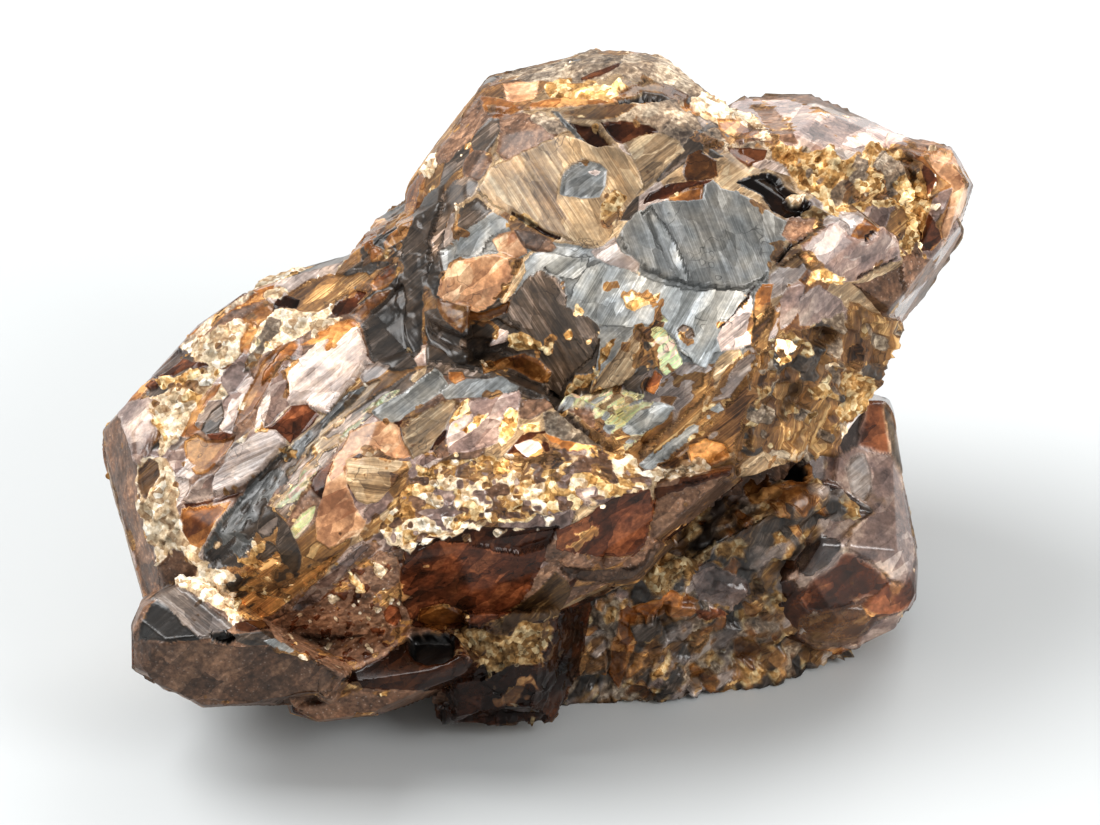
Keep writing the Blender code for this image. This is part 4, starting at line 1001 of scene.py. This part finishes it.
    *patches("""
    PEWTER tone=-1.1: 203,548 210,538 222,520 235,503 250,486 268,466 290,448 316,426 340,402 352,392
        366,386 350,404 330,424 312,444 296,462 284,480 270,500 262,515 256,530 250,548 240,558 228,566
        212,566 206,556;
    SLATE share=0.4 fleck=0.2 run=1.5 tone=-0.2: 203,548 250,486 340,402 366,386 312,444 262,515 250,548
        212,566;
    TAN share=0.2 fleck=0.15 run=1.5 tone=-0.9: 250,530 290,470 350,400 366,386 330,430 284,490 262,525;
    SLATE run=1.6 tone=0.7: 432,366 440,372 420,384 396,400 372,416 350,434 334,452 318,472 304,490 296,505
        288,520 278,512 270,505 284,486 300,464 318,442 340,420 366,400 392,384 412,370;
    TAN share=0.35 fleck=0.2 tone=0.1: 432,366 440,372 396,400 350,434 318,472 296,505 288,520 270,505
        300,464 340,420 392,384;
    RAINBOW share=0.4 run=1.6 tone=-0.3: 432,368 396,398 350,432 318,468 296,500 280,508 300,474 340,430
        390,390;
    PEWTER: 372,412 386,402 404,392 420,378 436,368 442,372 448,384 444,392 430,400 415,410 400,420 385,424;
    PEWTER tone=-0.25: 440,390 460,380 500,378 520,388 500,396 470,398 446,400;
    AMBER tone=0.2: 448,372 462,372 466,380 456,385 450,380;
    PEACH: 350,432 366,424 384,420 398,424 402,440 412,456 400,458 380,452 362,452 352,458 346,470 348,490
        356,506 366,520 360,536 345,540 330,548 318,540 316,520 322,500 328,480 336,460 344,446;
    TAN run=3.2 tone=0.2 lift=0.12: 347,462 352,458 370,458 392,460 410,462 412,468 402,474 396,482 388,490
        380,500 368,504 358,500 352,492 346,480;
    TAN tone=-0.2: 400,424 420,414 440,402 452,400 460,404 450,420 440,436 430,450 412,460 404,444;
    MAUVE run=1.8 tone=0.2: 450,425 465,402 490,398 520,390 522,400 516,420 504,440 480,450 450,455 446,440;
    OCHRE tone=0.5: 462,432 476,418 490,412 486,422 470,434;
    OCHRE tone=0.5: 500,420 514,408 520,412 512,440 500,448 498,432;
    OCHRE tone=0.3: 448,420 462,404 474,402 466,416 452,424;
    LILAC tone=0.6: 514,446 526,440 540,438 542,448 546,456 530,458 520,452;
    OCHRE tone=0.3: 518,430 528,424 540,422 540,432 524,436;
    AMBER tone=0.65: 543,432 560,436 580,444 598,446 590,450 565,452 550,446;
    WEATHERED tone=-0.3: 545,412 565,415 590,430 606,444 590,446 560,436 544,430 546,420;
    FROSTED tone=-0.1: 520,400 545,398 556,406 545,412 530,420 520,418;
    SLATE tone=-0.3 lift=-0.3: 545,390 562,404 600,436 640,470 652,482 636,470 600,442 556,410"""),
    # Lower faces under the ledge, maroon glass whose brighter patches paint in the glow of light inside it
    *patches("""
    FIBROUS run=1.8 tone=0.5: 206,566 230,565 240,558 250,550 262,540 275,545 280,560 270,575 285,590
        300,575 320,566 340,552 330,566 310,584 290,600 275,612 262,620 240,618 232,600 228,585 216,572;
    SLATE share=0.25 fleck=0.25 run=1.8 / OCHRE share=0.2 fleck=0.25 tone=-0.1: 206,566 262,540 330,566
        290,600 240,618;
    CREAM tone=0.1: 182,590 178,580 196,578 206,568 230,566 236,575 228,585 236,590 232,600 236,612 240,622
        230,624 222,612 212,604 200,598;
    SLATE tone=-0.1: 276,512 284,520 296,540 302,556 300,570 288,580 280,590 272,580 280,560 275,545
        278,530;
    RAINBOW: 290,530 300,515 308,508 316,505 312,520 304,530 296,540;
    SLATE tone=-0.3: 258,520 264,505 275,508 280,520 272,535 262,540 256,530;
    FROSTED tone=0.35: 272,620 286,612 304,610 330,590 352,572 378,550 398,556 402,575 400,600 410,615
        412,632 400,645 385,655 360,668 345,678 335,670 310,655 290,645 275,640 268,628;
    FROSTED tone=0.1: 285,612 300,600 320,582 342,562 360,545 375,540 382,546 366,558 350,574 332,590
        316,602 300,612;
    CREAM tone=0.3: 372,560 380,562 384,575 376,580 372,570;
    CREAM: 352,582 352,572 358,575 360,588;
    MAROON tone=0.5: 410,532 440,535 460,528 490,526 520,530 550,528 545,560 530,590 515,612 500,618 480,626
        440,630 412,625 402,600 400,570;
    AMBER tone=-0.3: 420,610 440,605 460,612 470,622 430,628 418,622;
    MAROON tone=-0.3 / CREAM share=0.12: 395,545 430,540 470,525 520,528 560,526 550,545 520,555 480,545
        440,540 410,555;
    MAROON tone=0.5: 556,530 580,520 612,500 630,490 652,488 655,500 652,520 645,545 632,556 600,556 570,552
        556,548;
    FROSTED tone=0.2: 558,560 570,552 600,557 632,557 645,548 650,535 656,520 657,540 648,556 636,566
        600,568 566,566;
    FROSTED tone=-0.6: 560,568 600,570 636,568 646,558 655,545 652,560 640,578 625,584 600,582 570,578;
    FROSTED tone=-0.2: 655,500 680,490 724,476 732,480 737,500 725,512 700,518 670,530 655,540 652,520;
    MAROON tone=-0.6: 655,488 700,480 724,474 700,482 680,490 656,500;
    CREAM share=0.06 fleck=0.2 / MAROON share=0.18 fleck=0.2 tone=0.5: 280,640 300,610 380,552 404,600
        400,640 340,672 300,655;
    MAUVE tone=-0.5: 292,612 300,598 326,574 362,541 370,545 344,574 312,606;
    CREAM tone=0.2: 373,558 379,562 385,576 383,582 377,578;
    OCHRE tone=0.2: 351,572 356,576 364,590 360,594 352,584;
    CREAM: 384,602 388,594 392,600 389,606;
    MAROON tone=1: 384,612 390,604 399,608 402,618 396,626 386,622;
    SLATE share=0.3 fleck=0.5 tone=0.5: 134,645 200,641 262,647 334,672 332,692 300,705 190,698 150,675"""),
    # Crumbly ledge
    *patches("""
    OCHRE tone=0.05 / CREAM share=0.42 fleck=0.42 run=3 tone=0.1: 380,530 388,512 406,490 420,466 440,460
        500,458 560,456 600,446 625,450 645,470 655,484 630,494 600,500 560,512 530,520 480,520 460,526
        440,534 425,538 400,546 386,540;
    FROSTED share=0.22 fleck=0.34 run=3 / MAUVE share=0.16 fleck=0.3 run=3: 380,530 420,466 500,458 600,446
        655,484 560,512 480,520 400,546;
    CREAM share=0.5 tone=0.2: 395,548 425,536 460,526 520,522 570,514 620,494 652,486 620,500 570,520
        520,528 460,532 425,544"""),
    # Dark bar at the near corner, with a sunken slot painted black as shade
    *patches("""
    SLATE tone=-1.4: 138,640 142,622 150,605 158,600 165,605 178,618 192,632 200,640;
    LILAC run=4.2 tone=-0.7: 150,600 160,590 172,583 182,588 200,600 220,616 232,625 228,630 212,640 200,640
        185,626 168,608 158,600;
    SLATE tone=-2 lift=-0.3: 208,632 222,628 230,634 236,640 228,646 212,642;
    SLATE tone=-0.2: 232,634 255,632 272,630 276,638 268,645 250,646 236,642;
    PEWTER tone=-0.1: 264,640 276,638 290,648 300,655 288,654 274,650;
    MAROON tone=-0.5: 234,622 262,620 270,628 250,632 236,630;
    FROSTED tone=-0.45: 134,645 138,640 200,641 212,645 232,647 262,647 284,655 310,660 334,672 340,680
        332,692 318,702 300,705 260,702 190,698 165,686 150,675 138,660"""),
    # Underside, its patches darkened below their own colours as painted shade, and a sunken hole painted
    # black as shade
    *patches("""
    MAROON tone=-0.7: 340,680 352,672 380,660 402,645 412,635 450,632 458,640 464,655 470,670 458,684
        440,692 400,690 360,688;
    SLATE tone=-2.2 lift=-0.4: 410,634 450,632 456,645 452,660 430,666 414,660 408,648;
    FROSTED: 290,702 320,704 336,692 350,690 400,692 446,690 450,700 420,708 400,712 356,712 350,722 320,722
        300,712;
    FIBROUS tone=-1: 490,625 510,612 530,598 545,582 556,572 568,580 572,592 564,604 552,618 530,622
        505,632;
    MAROON tone=-1.3: 470,668 490,672 540,666 552,640 560,620 566,640 550,680 540,716 500,716 460,712
        450,690;
    MAROON tone=-0.9: 452,640 470,668 545,662 560,612 580,606 582,722 455,722;
    AMBER share=0.25 tone=-0.5: 480,690 540,670 556,690 540,712 490,712;
    OCHRE tone=-0.5: 455,630 480,628 500,634 520,624 548,618 552,632 545,662 520,664 490,672 476,662 486,650
        470,652 458,645"""),
)

# The brighter maroon patches of the rear crystal paint in the glow of light that passes through it from
# behind.
REAR_PATCHES = (
    *patches("""
    MAUVE tone=-1.1: 838,440 850,425 858,402 866,396 862,420 858,446 845,452;
    MAROON tone=0.6: 858,446 862,420 866,396 880,392 886,404 890,440 896,456 880,452;
    TAN tone=-0.7: 884,404 892,420 900,450 908,480 900,470 892,450;
    MAUVE tone=0.15: 833,478 840,455 855,446 870,450 896,456 906,480 916,540 914,570 902,582 888,578 870,560
        855,552 845,548 850,530 872,514 850,500;
    LILAC tone=-0.3: 846,470 852,458 864,454 870,470 872,492 866,502 852,494;
    MAROON tone=-1: 822,484 830,486 850,495 873,510 872,514 850,506 832,498 824,492;
    MAUVE tone=-0.1: 815,500 832,500 850,508 872,514 850,530 835,545 820,540 800,545 802,530 815,515;
    SLATE tone=0.2: 818,510 826,505 836,512 830,518 820,518;
    MAUVE tone=-0.9: 796,562 806,548 822,536 838,540 842,552 826,566 812,576 800,572;
    LILAC tone=0.2: 811,576 828,562 842,548 846,551 832,566 814,580;
    MAROON tone=0.5: 800,600 812,580 832,566 846,552 856,554 872,564 888,580 880,594 860,600 840,606 820,612
        808,612;
    MAROON tone=0.8: 888,582 900,584 914,570 920,560 920,590 912,608 890,614 872,616 862,608 872,596;
    AMBER tone=-0.3: 800,618 830,612 862,606 872,618 858,640 830,645 812,642 800,635;
    MAUVE tone=0.3: 860,640 878,622 912,608 905,630 880,645 858,650;
    AMBER tone=0.5: 812,648 840,645 858,650 845,662 825,667 815,660;
    MAUVE: 785,520 795,515 798,535 790,545;
    MAUVE: 770,500 780,505 778,540 768,545 765,525;
    MAUVE tone=0.6: 785,575 800,568 800,578 788,582"""),
)

# The near-black sunken slate patch of the matrix is painted shade in a hole.
MATRIX_PATCHES = (
    *patches("""
    FIBROUS share=0.4 run=2 tone=-0.4 / SLATE share=0.28 run=1 tone=-0.5 / OCHRE share=0.2 tone=-0.35 /
        LILAC share=0.12 tone=-0.35 / AMBER share=0.1 tone=-0.4: 540,560 560,540 640,520 700,480 760,455
        830,470 880,520 860,600 820,680 700,725 560,730 520,640;
    AMBER: 620,610 650,600 672,588 700,600 690,615 660,618 640,630 630,660 620,690 606,680 612,650;
    SLATE tone=-0.5: 630,620 655,615 662,630 650,640 636,636;
    MAUVE tone=-0.7: 690,570 715,565 745,580 760,600 735,610 700,600;
    AMBER tone=-0.6: 735,640 750,632 762,650 750,668 738,660;
    MAROON tone=0.4: 690,605 720,608 730,616 700,620;
    OCHRE tone=-0.7: 640,580 660,560 700,545 716,540 710,560 690,575 665,590;
    AMBER tone=-0.5: 740,480 765,470 770,485 790,490 805,485 812,500 800,515 790,505 770,500 750,505;
    SLATE tone=-2.8 lift=-0.4: 770,465 786,460 800,466 806,474 800,482 776,482 768,476;
    SLATE: 574,590 600,584 628,584 600,602 575,612"""),
)


def linear(code: str) -> tuple[float, float, float, float]:
    """An sRGB hex colour as the linear colour that shaders take."""
    parts = [int(code[i:i + 2], 16) / 255 for i in (1, 3, 5)]
    return (*(c / 12.92 if c <= 0.04045 else ((c + 0.055) / 1.055) ** 2.4 for c in parts), 1.0)


def add(tree: Tree, kind: str, inputs: dict | None = None, **settings: object) -> bpy.types.Node:
    """Adds a node.

    Args:
        tree: where it goes.
        kind: the node's type.
        inputs: a socket to link or a value to set, by the input's name or number.
        settings: the node's own properties.

    Returns:
        The node.
    """
    made = tree.nodes.new(kind)
    for name, value in settings.items():
        setattr(made, name, value)
    for name, value in (inputs or {}).items():
        if isinstance(value, Socket):
            tree.links.new(value, made.inputs[name])
        else:
            made.inputs[name].default_value = value
    return made


def maths(tree: Tree, operation: str, *values: Socket | float) -> Socket:
    """The result of a maths node on numbers."""
    return add(tree, "ShaderNodeMath", dict(enumerate(values)), operation=operation).outputs[0]


def vectors(tree: Tree, operation: str, *values: Socket | tuple) -> Socket:
    """The result of a maths node on vectors."""
    return add(tree, "ShaderNodeVectorMath", dict(enumerate(values)), operation=operation).outputs[0]


def scaled(tree: Tree, vector: Socket, factor: Socket | float) -> Socket:
    """A vector times a number, which is the fourth input of its node."""
    return add(tree, "ShaderNodeVectorMath", {0: vector, 3: factor}, operation="SCALE").outputs[0]


def between(tree: Tree, value: Socket, low: float, high: float, **settings: str) -> Socket:
    """0 where a value is low and 1 where it is high, and a ramp between them."""
    return add(tree, "ShaderNodeMapRange", {0: value, 1: low, 2: high}, **settings).outputs[0]


def stored(tree: Tree, name: str) -> Socket:
    """A number kept at the points of the mesh."""
    return add(tree, "ShaderNodeAttribute", attribute_name=name).outputs["Fac"]


def per_mm(size: float) -> float:
    """The scale of a texture with features of a size in mm, on coordinates in metres."""
    return 1.0 / (size * MILLIMETRE)


@dataclass(frozen=True)
class Mineral:
    """The material of one piece: its finishes, each where its mask says, over one body."""

    name: str
    ior: float  # andradite has 1.89, which fine etching on these faces dulls
    soft: float = 0.6  # px over which one finish goes over into the next
    chipped: float = 1.0  # how strongly chips and hairlines show
    clear: float = 0.0  # how much of the light passes through
    specks: float = 0.15  # mm across the pale flecks

    def chips(self, tree: Tree) -> tuple[Socket, ...]:
        """Small chips and larger slabs, drawn out along the lamellae, and hairline cracks.

        Returns:
            A shade of each chip and slab about 0, a second one for its tone, its step, and 1 in the cracks.
        """
        place = add(tree, "ShaderNodeTexCoord").outputs["Object"]
        grain = add(tree, "ShaderNodeAttribute", attribute_name="grain").outputs["Vector"]
        wobble = add(tree, "ShaderNodeTexNoise", {
            "Vector": place, "Scale": per_mm(0.5), "Detail": 1.0}).outputs["Color"]
        parts = []
        for across, along in ((0.28, 0.9), (0.8, 2.2)):
            stretched = vectors(tree, "MULTIPLY", grain, (1 / across, 1 / along, 60.0))
            moved = vectors(tree, "MULTIPLY_ADD", wobble, (0.4, 0.4, 0.0), stretched)
            cells = add(tree, "ShaderNodeTexVoronoi", {"Vector": moved, "Scale": 1.0}).outputs["Color"]
            parts.append(vectors(tree, "SUBTRACT", cells, (0.5, 0.5, 0.5)))
        both = vectors(tree, "ADD", *parts)
        split = add(tree, "ShaderNodeSeparateXYZ", {0: both}).outputs
        spread = scaled(tree, place, per_mm(1.7))
        broken = vectors(tree, "ADD", wobble, spread)
        edges = add(tree, "ShaderNodeTexVoronoi", {"Vector": broken, "Scale": 1.0},
                    feature="DISTANCE_TO_EDGE").outputs[0]
        line = between(tree, edges, 0.018, 0.0)
        where = add(tree, "ShaderNodeTexNoise", {"Vector": spread, "Scale": 0.9}).outputs[0]
        hairline = maths(tree, "MULTIPLY", line, between(tree, where, 0.54, 0.62))
        return split[0], split[1], split[2], hairline

    def patterns(self, tree: Tree, chip: Socket) -> tuple[dict[Pattern, Socket], Socket, Socket]:
        """The four patterns, each a value from 0 to 1, shifted from chip to chip.

        Striations are noise on the grain coordinates, 0.036 and 0.15 mm across the lamellae and many times
        longer along them. Clouds, grit and crumbs are noise and cells on Object coordinates.

        Returns:
            The patterns, how far iron has stained each place, from 0 to 1, and the grit.
        """
        place = add(tree, "ShaderNodeTexCoord").outputs["Object"]
        grain = add(tree, "ShaderNodeAttribute", attribute_name="grain").outputs["Vector"]
        noises = {}
        for name, across, along in (("fine", 0.036, 2.6), ("broad", 0.15, 8.0)):
            stretched = vectors(tree, "MULTIPLY", grain, (1 / across, 1 / along, 60.0))
            noises[name] = add(tree, "ShaderNodeTexNoise", {
                "Vector": stretched, "Scale": 1.0, "Detail": 2.0, "Roughness": 0.6}).outputs[0]
        for name, size, detail in (("cloud", 1.1, 2.0), ("grit", 0.16, 3.0)):
            noises[name] = add(tree, "ShaderNodeTexNoise", {
                "Vector": place, "Scale": per_mm(size), "Detail": detail, "Roughness": 0.6}).outputs[0]
        cells = add(tree, "ShaderNodeTexVoronoi", {"Vector": place, "Scale": per_mm(0.2)})
        shade = add(tree, "ShaderNodeSeparateColor", {0: cells.outputs["Color"]}).outputs[0]

        def blend(first: Socket, second: Socket, share: float, low: float, high: float,
                  shift: float) -> Socket:
            """Two values mixed, shifted by the chip, then stretched so that low to high fills 0 to 1."""
            mixed = add(tree, "ShaderNodeMix", {0: share, 2: first, 3: second}).outputs[0]
            return between(tree, maths(tree, "MULTIPLY_ADD", chip, shift, mixed), low, high)

        lines = add(tree, "ShaderNodeMix", {0: 0.45, 2: noises["fine"], 3: noises["broad"]}).outputs[0]
        cloud, grit = noises["cloud"], noises["grit"]
        return {
            Pattern.STRIATED: blend(lines, cloud, 0.35, 0.32, 0.68, 0.16),
            Pattern.CLOUDY: blend(cloud, grit, 0.2, 0.25, 0.75, 0.22),
            Pattern.GRITTY: blend(cloud, grit, 0.5, 0.3, 0.7, 0.12),
            Pattern.CRUMBLY: blend(shade, grit, 0.5, 0.2, 0.78, 0.0),
        }, between(tree, cloud, 0.38, 0.62), grit

    def coloured(self, tree: Tree, look: Look, pattern: Socket, flecks: Socket) -> Socket:
        """The colours of one finish, laid along its pattern, with its pale specks."""
        ramp = add(tree, "ShaderNodeValToRGB", {0: pattern})
        stops = ramp.color_ramp.elements
        while len(stops) < len(look.colours):
            stops.new(0.5)
        for number, code in enumerate(look.colours):
            stops[number].position = number / (len(look.colours) - 1)
            stops[number].color = linear(code)
        if not look.specks:
            return ramp.outputs[0]
        speck = maths(tree, "MULTIPLY", flecks, look.specks)
        return add(tree, "ShaderNodeMix", {0: speck, 6: ramp.outputs[0], 7: linear("#d8cdc4")},
                   data_type="RGBA").outputs[2]

    def built(self) -> bpy.types.Material:
        """The material: finishes weighed by their masks, then toned, stained, chipped and cracked.

        The sums start a little above nothing, with a dark brown that shows only where no mask reaches.
        """
        material = bpy.data.materials.new(self.name)
        material.use_nodes = True
        tree = material.node_tree
        shader = tree.nodes["Principled BSDF"]
        chip, chip_tone, step, hairline = self.chips(tree)
        patterns, stain, grit = self.patterns(tree, chip)
        place = add(tree, "ShaderNodeTexCoord").outputs["Object"]
        fleck = add(tree, "ShaderNodeTexVoronoi", {"Vector": place, "Scale": per_mm(self.specks)})
        flecks = between(tree, fleck.outputs["Distance"], 0.22, 0.10)
        sums: dict[str, Socket | float] = {"weight": 0.02, "rough": 0.01, "gloss": 0.01, "relief": 0.0}
        colour: Socket | tuple = (0.004, 0.0025, 0.0015)
        for finish in Finish:
            look = LOOKS[finish]
            weight = between(tree, stored(tree, finish.name.lower()), -self.soft, self.soft,
                             interpolation_type="SMOOTHSTEP")
            pattern = patterns[look.pattern]
            shown = self.coloured(tree, look, pattern, flecks)
            colour = vectors(tree, "MULTIPLY_ADD", shown, weight, colour)
            parts = {"weight": 1.0, "rough": look.roughness, "gloss": look.gloss}
            if look.relief:
                parts["relief"] = maths(tree, "MULTIPLY", pattern, look.relief)
            for name, part in parts.items():
                sums[name] = maths(tree, "MULTIPLY_ADD", weight, part, sums[name])
        share = maths(tree, "DIVIDE", 1.0, sums["weight"])
        fade = between(tree, stored(tree, "inner"), 0.8, 3.2)
        faded = maths(tree, "MULTIPLY", fade, 0.4 * self.chipped)
        varied = maths(tree, "MULTIPLY_ADD", chip_tone, faded, stored(tree, "tone"))
        cracked = maths(tree, "MULTIPLY_ADD", hairline, -0.8 * self.chipped, varied)
        grained = maths(tree, "MULTIPLY_ADD", grit, 0.9, cracked)
        bright = maths(tree, "POWER", 4.0, maths(tree, "SUBTRACT", grained, 0.45))
        tinted = scaled(tree, colour, maths(tree, "MULTIPLY", bright, share))
        tint = add(tree, "ShaderNodeMix", {0: stain, 6: (0.97, 1.0, 1.03, 1.0), 7: (1.07, 0.99, 0.89, 1.0)},
                   data_type="RGBA").outputs[2]
        tree.links.new(vectors(tree, "MULTIPLY", tinted, tint), shader.inputs["Base Color"])
        for name, socket in (("rough", "Roughness"), ("gloss", "Specular IOR Level")):
            tree.links.new(maths(tree, "MULTIPLY", sums[name], share), shader.inputs[socket])
        stepped = maths(tree, "MULTIPLY_ADD", step, 0.014 * self.chipped, sums["relief"])
        bump = add(tree, "ShaderNodeBump", {"Height": stepped, "Strength": fade, "Distance": MILLIMETRE})
        tree.links.new(bump.outputs[0], shader.inputs["Normal"])
        shader.inputs["IOR"].default_value = self.ior
        shader.inputs["Transmission Weight"].default_value = self.clear
        return material


@dataclass(frozen=True)
class Growth:
    """One sub-assembly: crystals of one CAD node, worked with the same patches."""

    node: str
    slot: str
    crystals: tuple[Crystal, ...]
    traced: tuple[Patch, ...]
    mineral: Mineral
    run: float = 1.7

    def build(self) -> list[bpy.types.Object]:
        """Builds and dresses every crystal of the group.

        Returns:
            The finished objects.
        """
        material = self.mineral.built()
        return [self.dress(self.mesh(crystal), material) for crystal in self.crystals]

    def mesh(self, crystal: Crystal) -> bpy.types.Object:
        """One crystal as a mesh in the part's frame, with its masks as attributes.

        Args:
            crystal: what to build.

        Returns:
            The new object.
        """
        skin, quads = crystal.worked(self.traced, self.run)
        places = DISPLAY.to_part(skin.displaced())
        places[:, 2] = np.maximum(places[:, 2], 0.0)
        mesh = bpy.data.meshes.new(crystal.name)
        mesh.vertices.add(len(places))
        mesh.vertices.foreach_set("co", places.ravel())
        mesh.loops.add(quads.size)
        mesh.loops.foreach_set("vertex_index", quads.ravel())
        mesh.polygons.add(len(quads))
        mesh.polygons.foreach_set("loop_start", np.arange(0, quads.size, 4))
        mesh.update(calc_edges=True)
        mesh.validate()
        mesh.shade_smooth()
        kept = {finish.name.lower(): skin.masks[:, finish.value] for finish in Finish}
        kept |= {"inner": skin.masks.max(axis=1), "tone": skin.tone}
        for name, values in kept.items():
            mesh.attributes.new(name, "FLOAT", "POINT").data.foreach_set("value", values.astype(np.float32))
        mesh.attributes.new("grain", "FLOAT_VECTOR", "POINT").data.foreach_set(
            "vector", skin.grain.astype(np.float32).ravel())
        item = bpy.data.objects.new(crystal.name, mesh)
        bpy.context.scene.collection.objects.link(item)
        log.info("%s: %d quads", crystal.name, len(quads))
        return item

    def dress(self, item: bpy.types.Object, material: bpy.types.Material) -> bpy.types.Object:
        """Gives a crystal its material and its place in the frame."""
        item.data.materials.append(material)
        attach(item, "root")
        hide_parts(self.node)
        return item


class Studio:
    """The pale floor, the soft light and the camera."""

    def build(self) -> None:
        """Sets up all three."""
        self.floor()
        self.light()
        self.camera()

    def floor(self) -> None:
        """A plain pale floor under the specimen."""
        half, low = 0.6, -0.02 * MILLIMETRE
        corners = [(x * half, y * half, low) for x, y in ((-1, -1), (1, -1), (1, 1), (-1, 1))]
        mesh = bpy.data.meshes.new("floor")
        mesh.from_pydata(corners, [], [(0, 1, 2, 3)])
        item = bpy.data.objects.new("floor", mesh)
        bpy.context.scene.collection.objects.link(item)
        material = bpy.data.materials.new("Matt white card")
        material.use_nodes = True
        shader = material.node_tree.nodes["Principled BSDF"]
        shader.inputs["Base Color"].default_value = linear("#c6c9ca")
        shader.inputs["Roughness"].default_value = 0.6
        mesh.materials.append(material)

    def light(self) -> None:
        """A bright even room and three soft lamps: from the upper left, from behind and from the right."""
        world = bpy.data.worlds.new("soft room")
        world.use_nodes = True
        background = world.node_tree.nodes["Background"].inputs
        background["Color"].default_value = linear("#f5f4f2")
        background["Strength"].default_value = 0.55
        bpy.context.scene.world = world
        for name, place, size, power in (
                ("key", (-0.64, 0.19, 0.88), 0.72, 11.0), ("back", (0.40, 0.88, 0.67), 0.67, 4.9),
                ("fill", (0.72, -0.48, 0.56), 0.48, 4.9)):
            lamp = bpy.data.lights.new(name, "AREA")
            lamp.size, lamp.energy = size, power
            item = bpy.data.objects.new(name, lamp)
            item.location = place
            middle = Vector((0.0, 0.0, 8.0 * MILLIMETRE))
            item.rotation_euler = (middle - Vector(place)).to_track_quat("-Z", "Y").to_euler()
            bpy.context.scene.collection.objects.link(item)

    def camera(self) -> None:
        """The eye of the display view: 600 mm away, looking 35 degrees down, 33 mm wide at the specimen."""
        camera = bpy.data.cameras.new("eye")
        camera.sensor_width = 36.0
        camera.lens = camera.sensor_width * DISPLAY.distance / (PHOTO_WIDTH * DISPLAY.pixel)
        camera.clip_start, camera.clip_end = 0.05, 5.0
        item = bpy.data.objects.new("eye", camera)
        row = (DISPLAY.centre[1] - PHOTO_HEIGHT / 2) * DISPLAY.pixel
        ends = np.array(((0.0, row, DISPLAY.distance), (0.0, row, 0.0)))
        at, to = (Vector(end) for end in DISPLAY.to_part(ends))
        item.location = at
        item.rotation_euler = (to - at).to_track_quat("-Z", "Y").to_euler()
        scene = bpy.context.scene
        scene.collection.objects.link(item)
        scene.camera = item
        scene.view_settings.view_transform = "Standard"
        scene.view_settings.look = "Medium High Contrast"


def main() -> None:
    """Builds the three pieces, then the studio."""
    logging.basicConfig(level=logging.INFO, format="%(name)s: %(message)s")
    garnet = Mineral("Andradite garnet, intergrown", 1.6)
    glassy = Mineral("Andradite garnet, glassy", 1.75, soft=5.0, chipped=0.35, clear=0.3)
    skarn = Mineral("Skarn, granular", 1.6, soft=1.5, chipped=0.8)
    groups = (
        Growth("garnet_cluster", "garnet", CLUSTER, CLUSTER_PATCHES, garnet),
        Growth("rear_garnet", "rear_garnet", (REAR,), REAR_PATCHES, glassy),
        Growth("skarn_matrix", "skarn", (MATRIX, FOOT), MATRIX_PATCHES, skarn),
    )
    for group in groups:
        log.info("%s: %d pieces", group.node, len(group.build()))
    Studio().build()


if __name__ == "__main__":
    main()
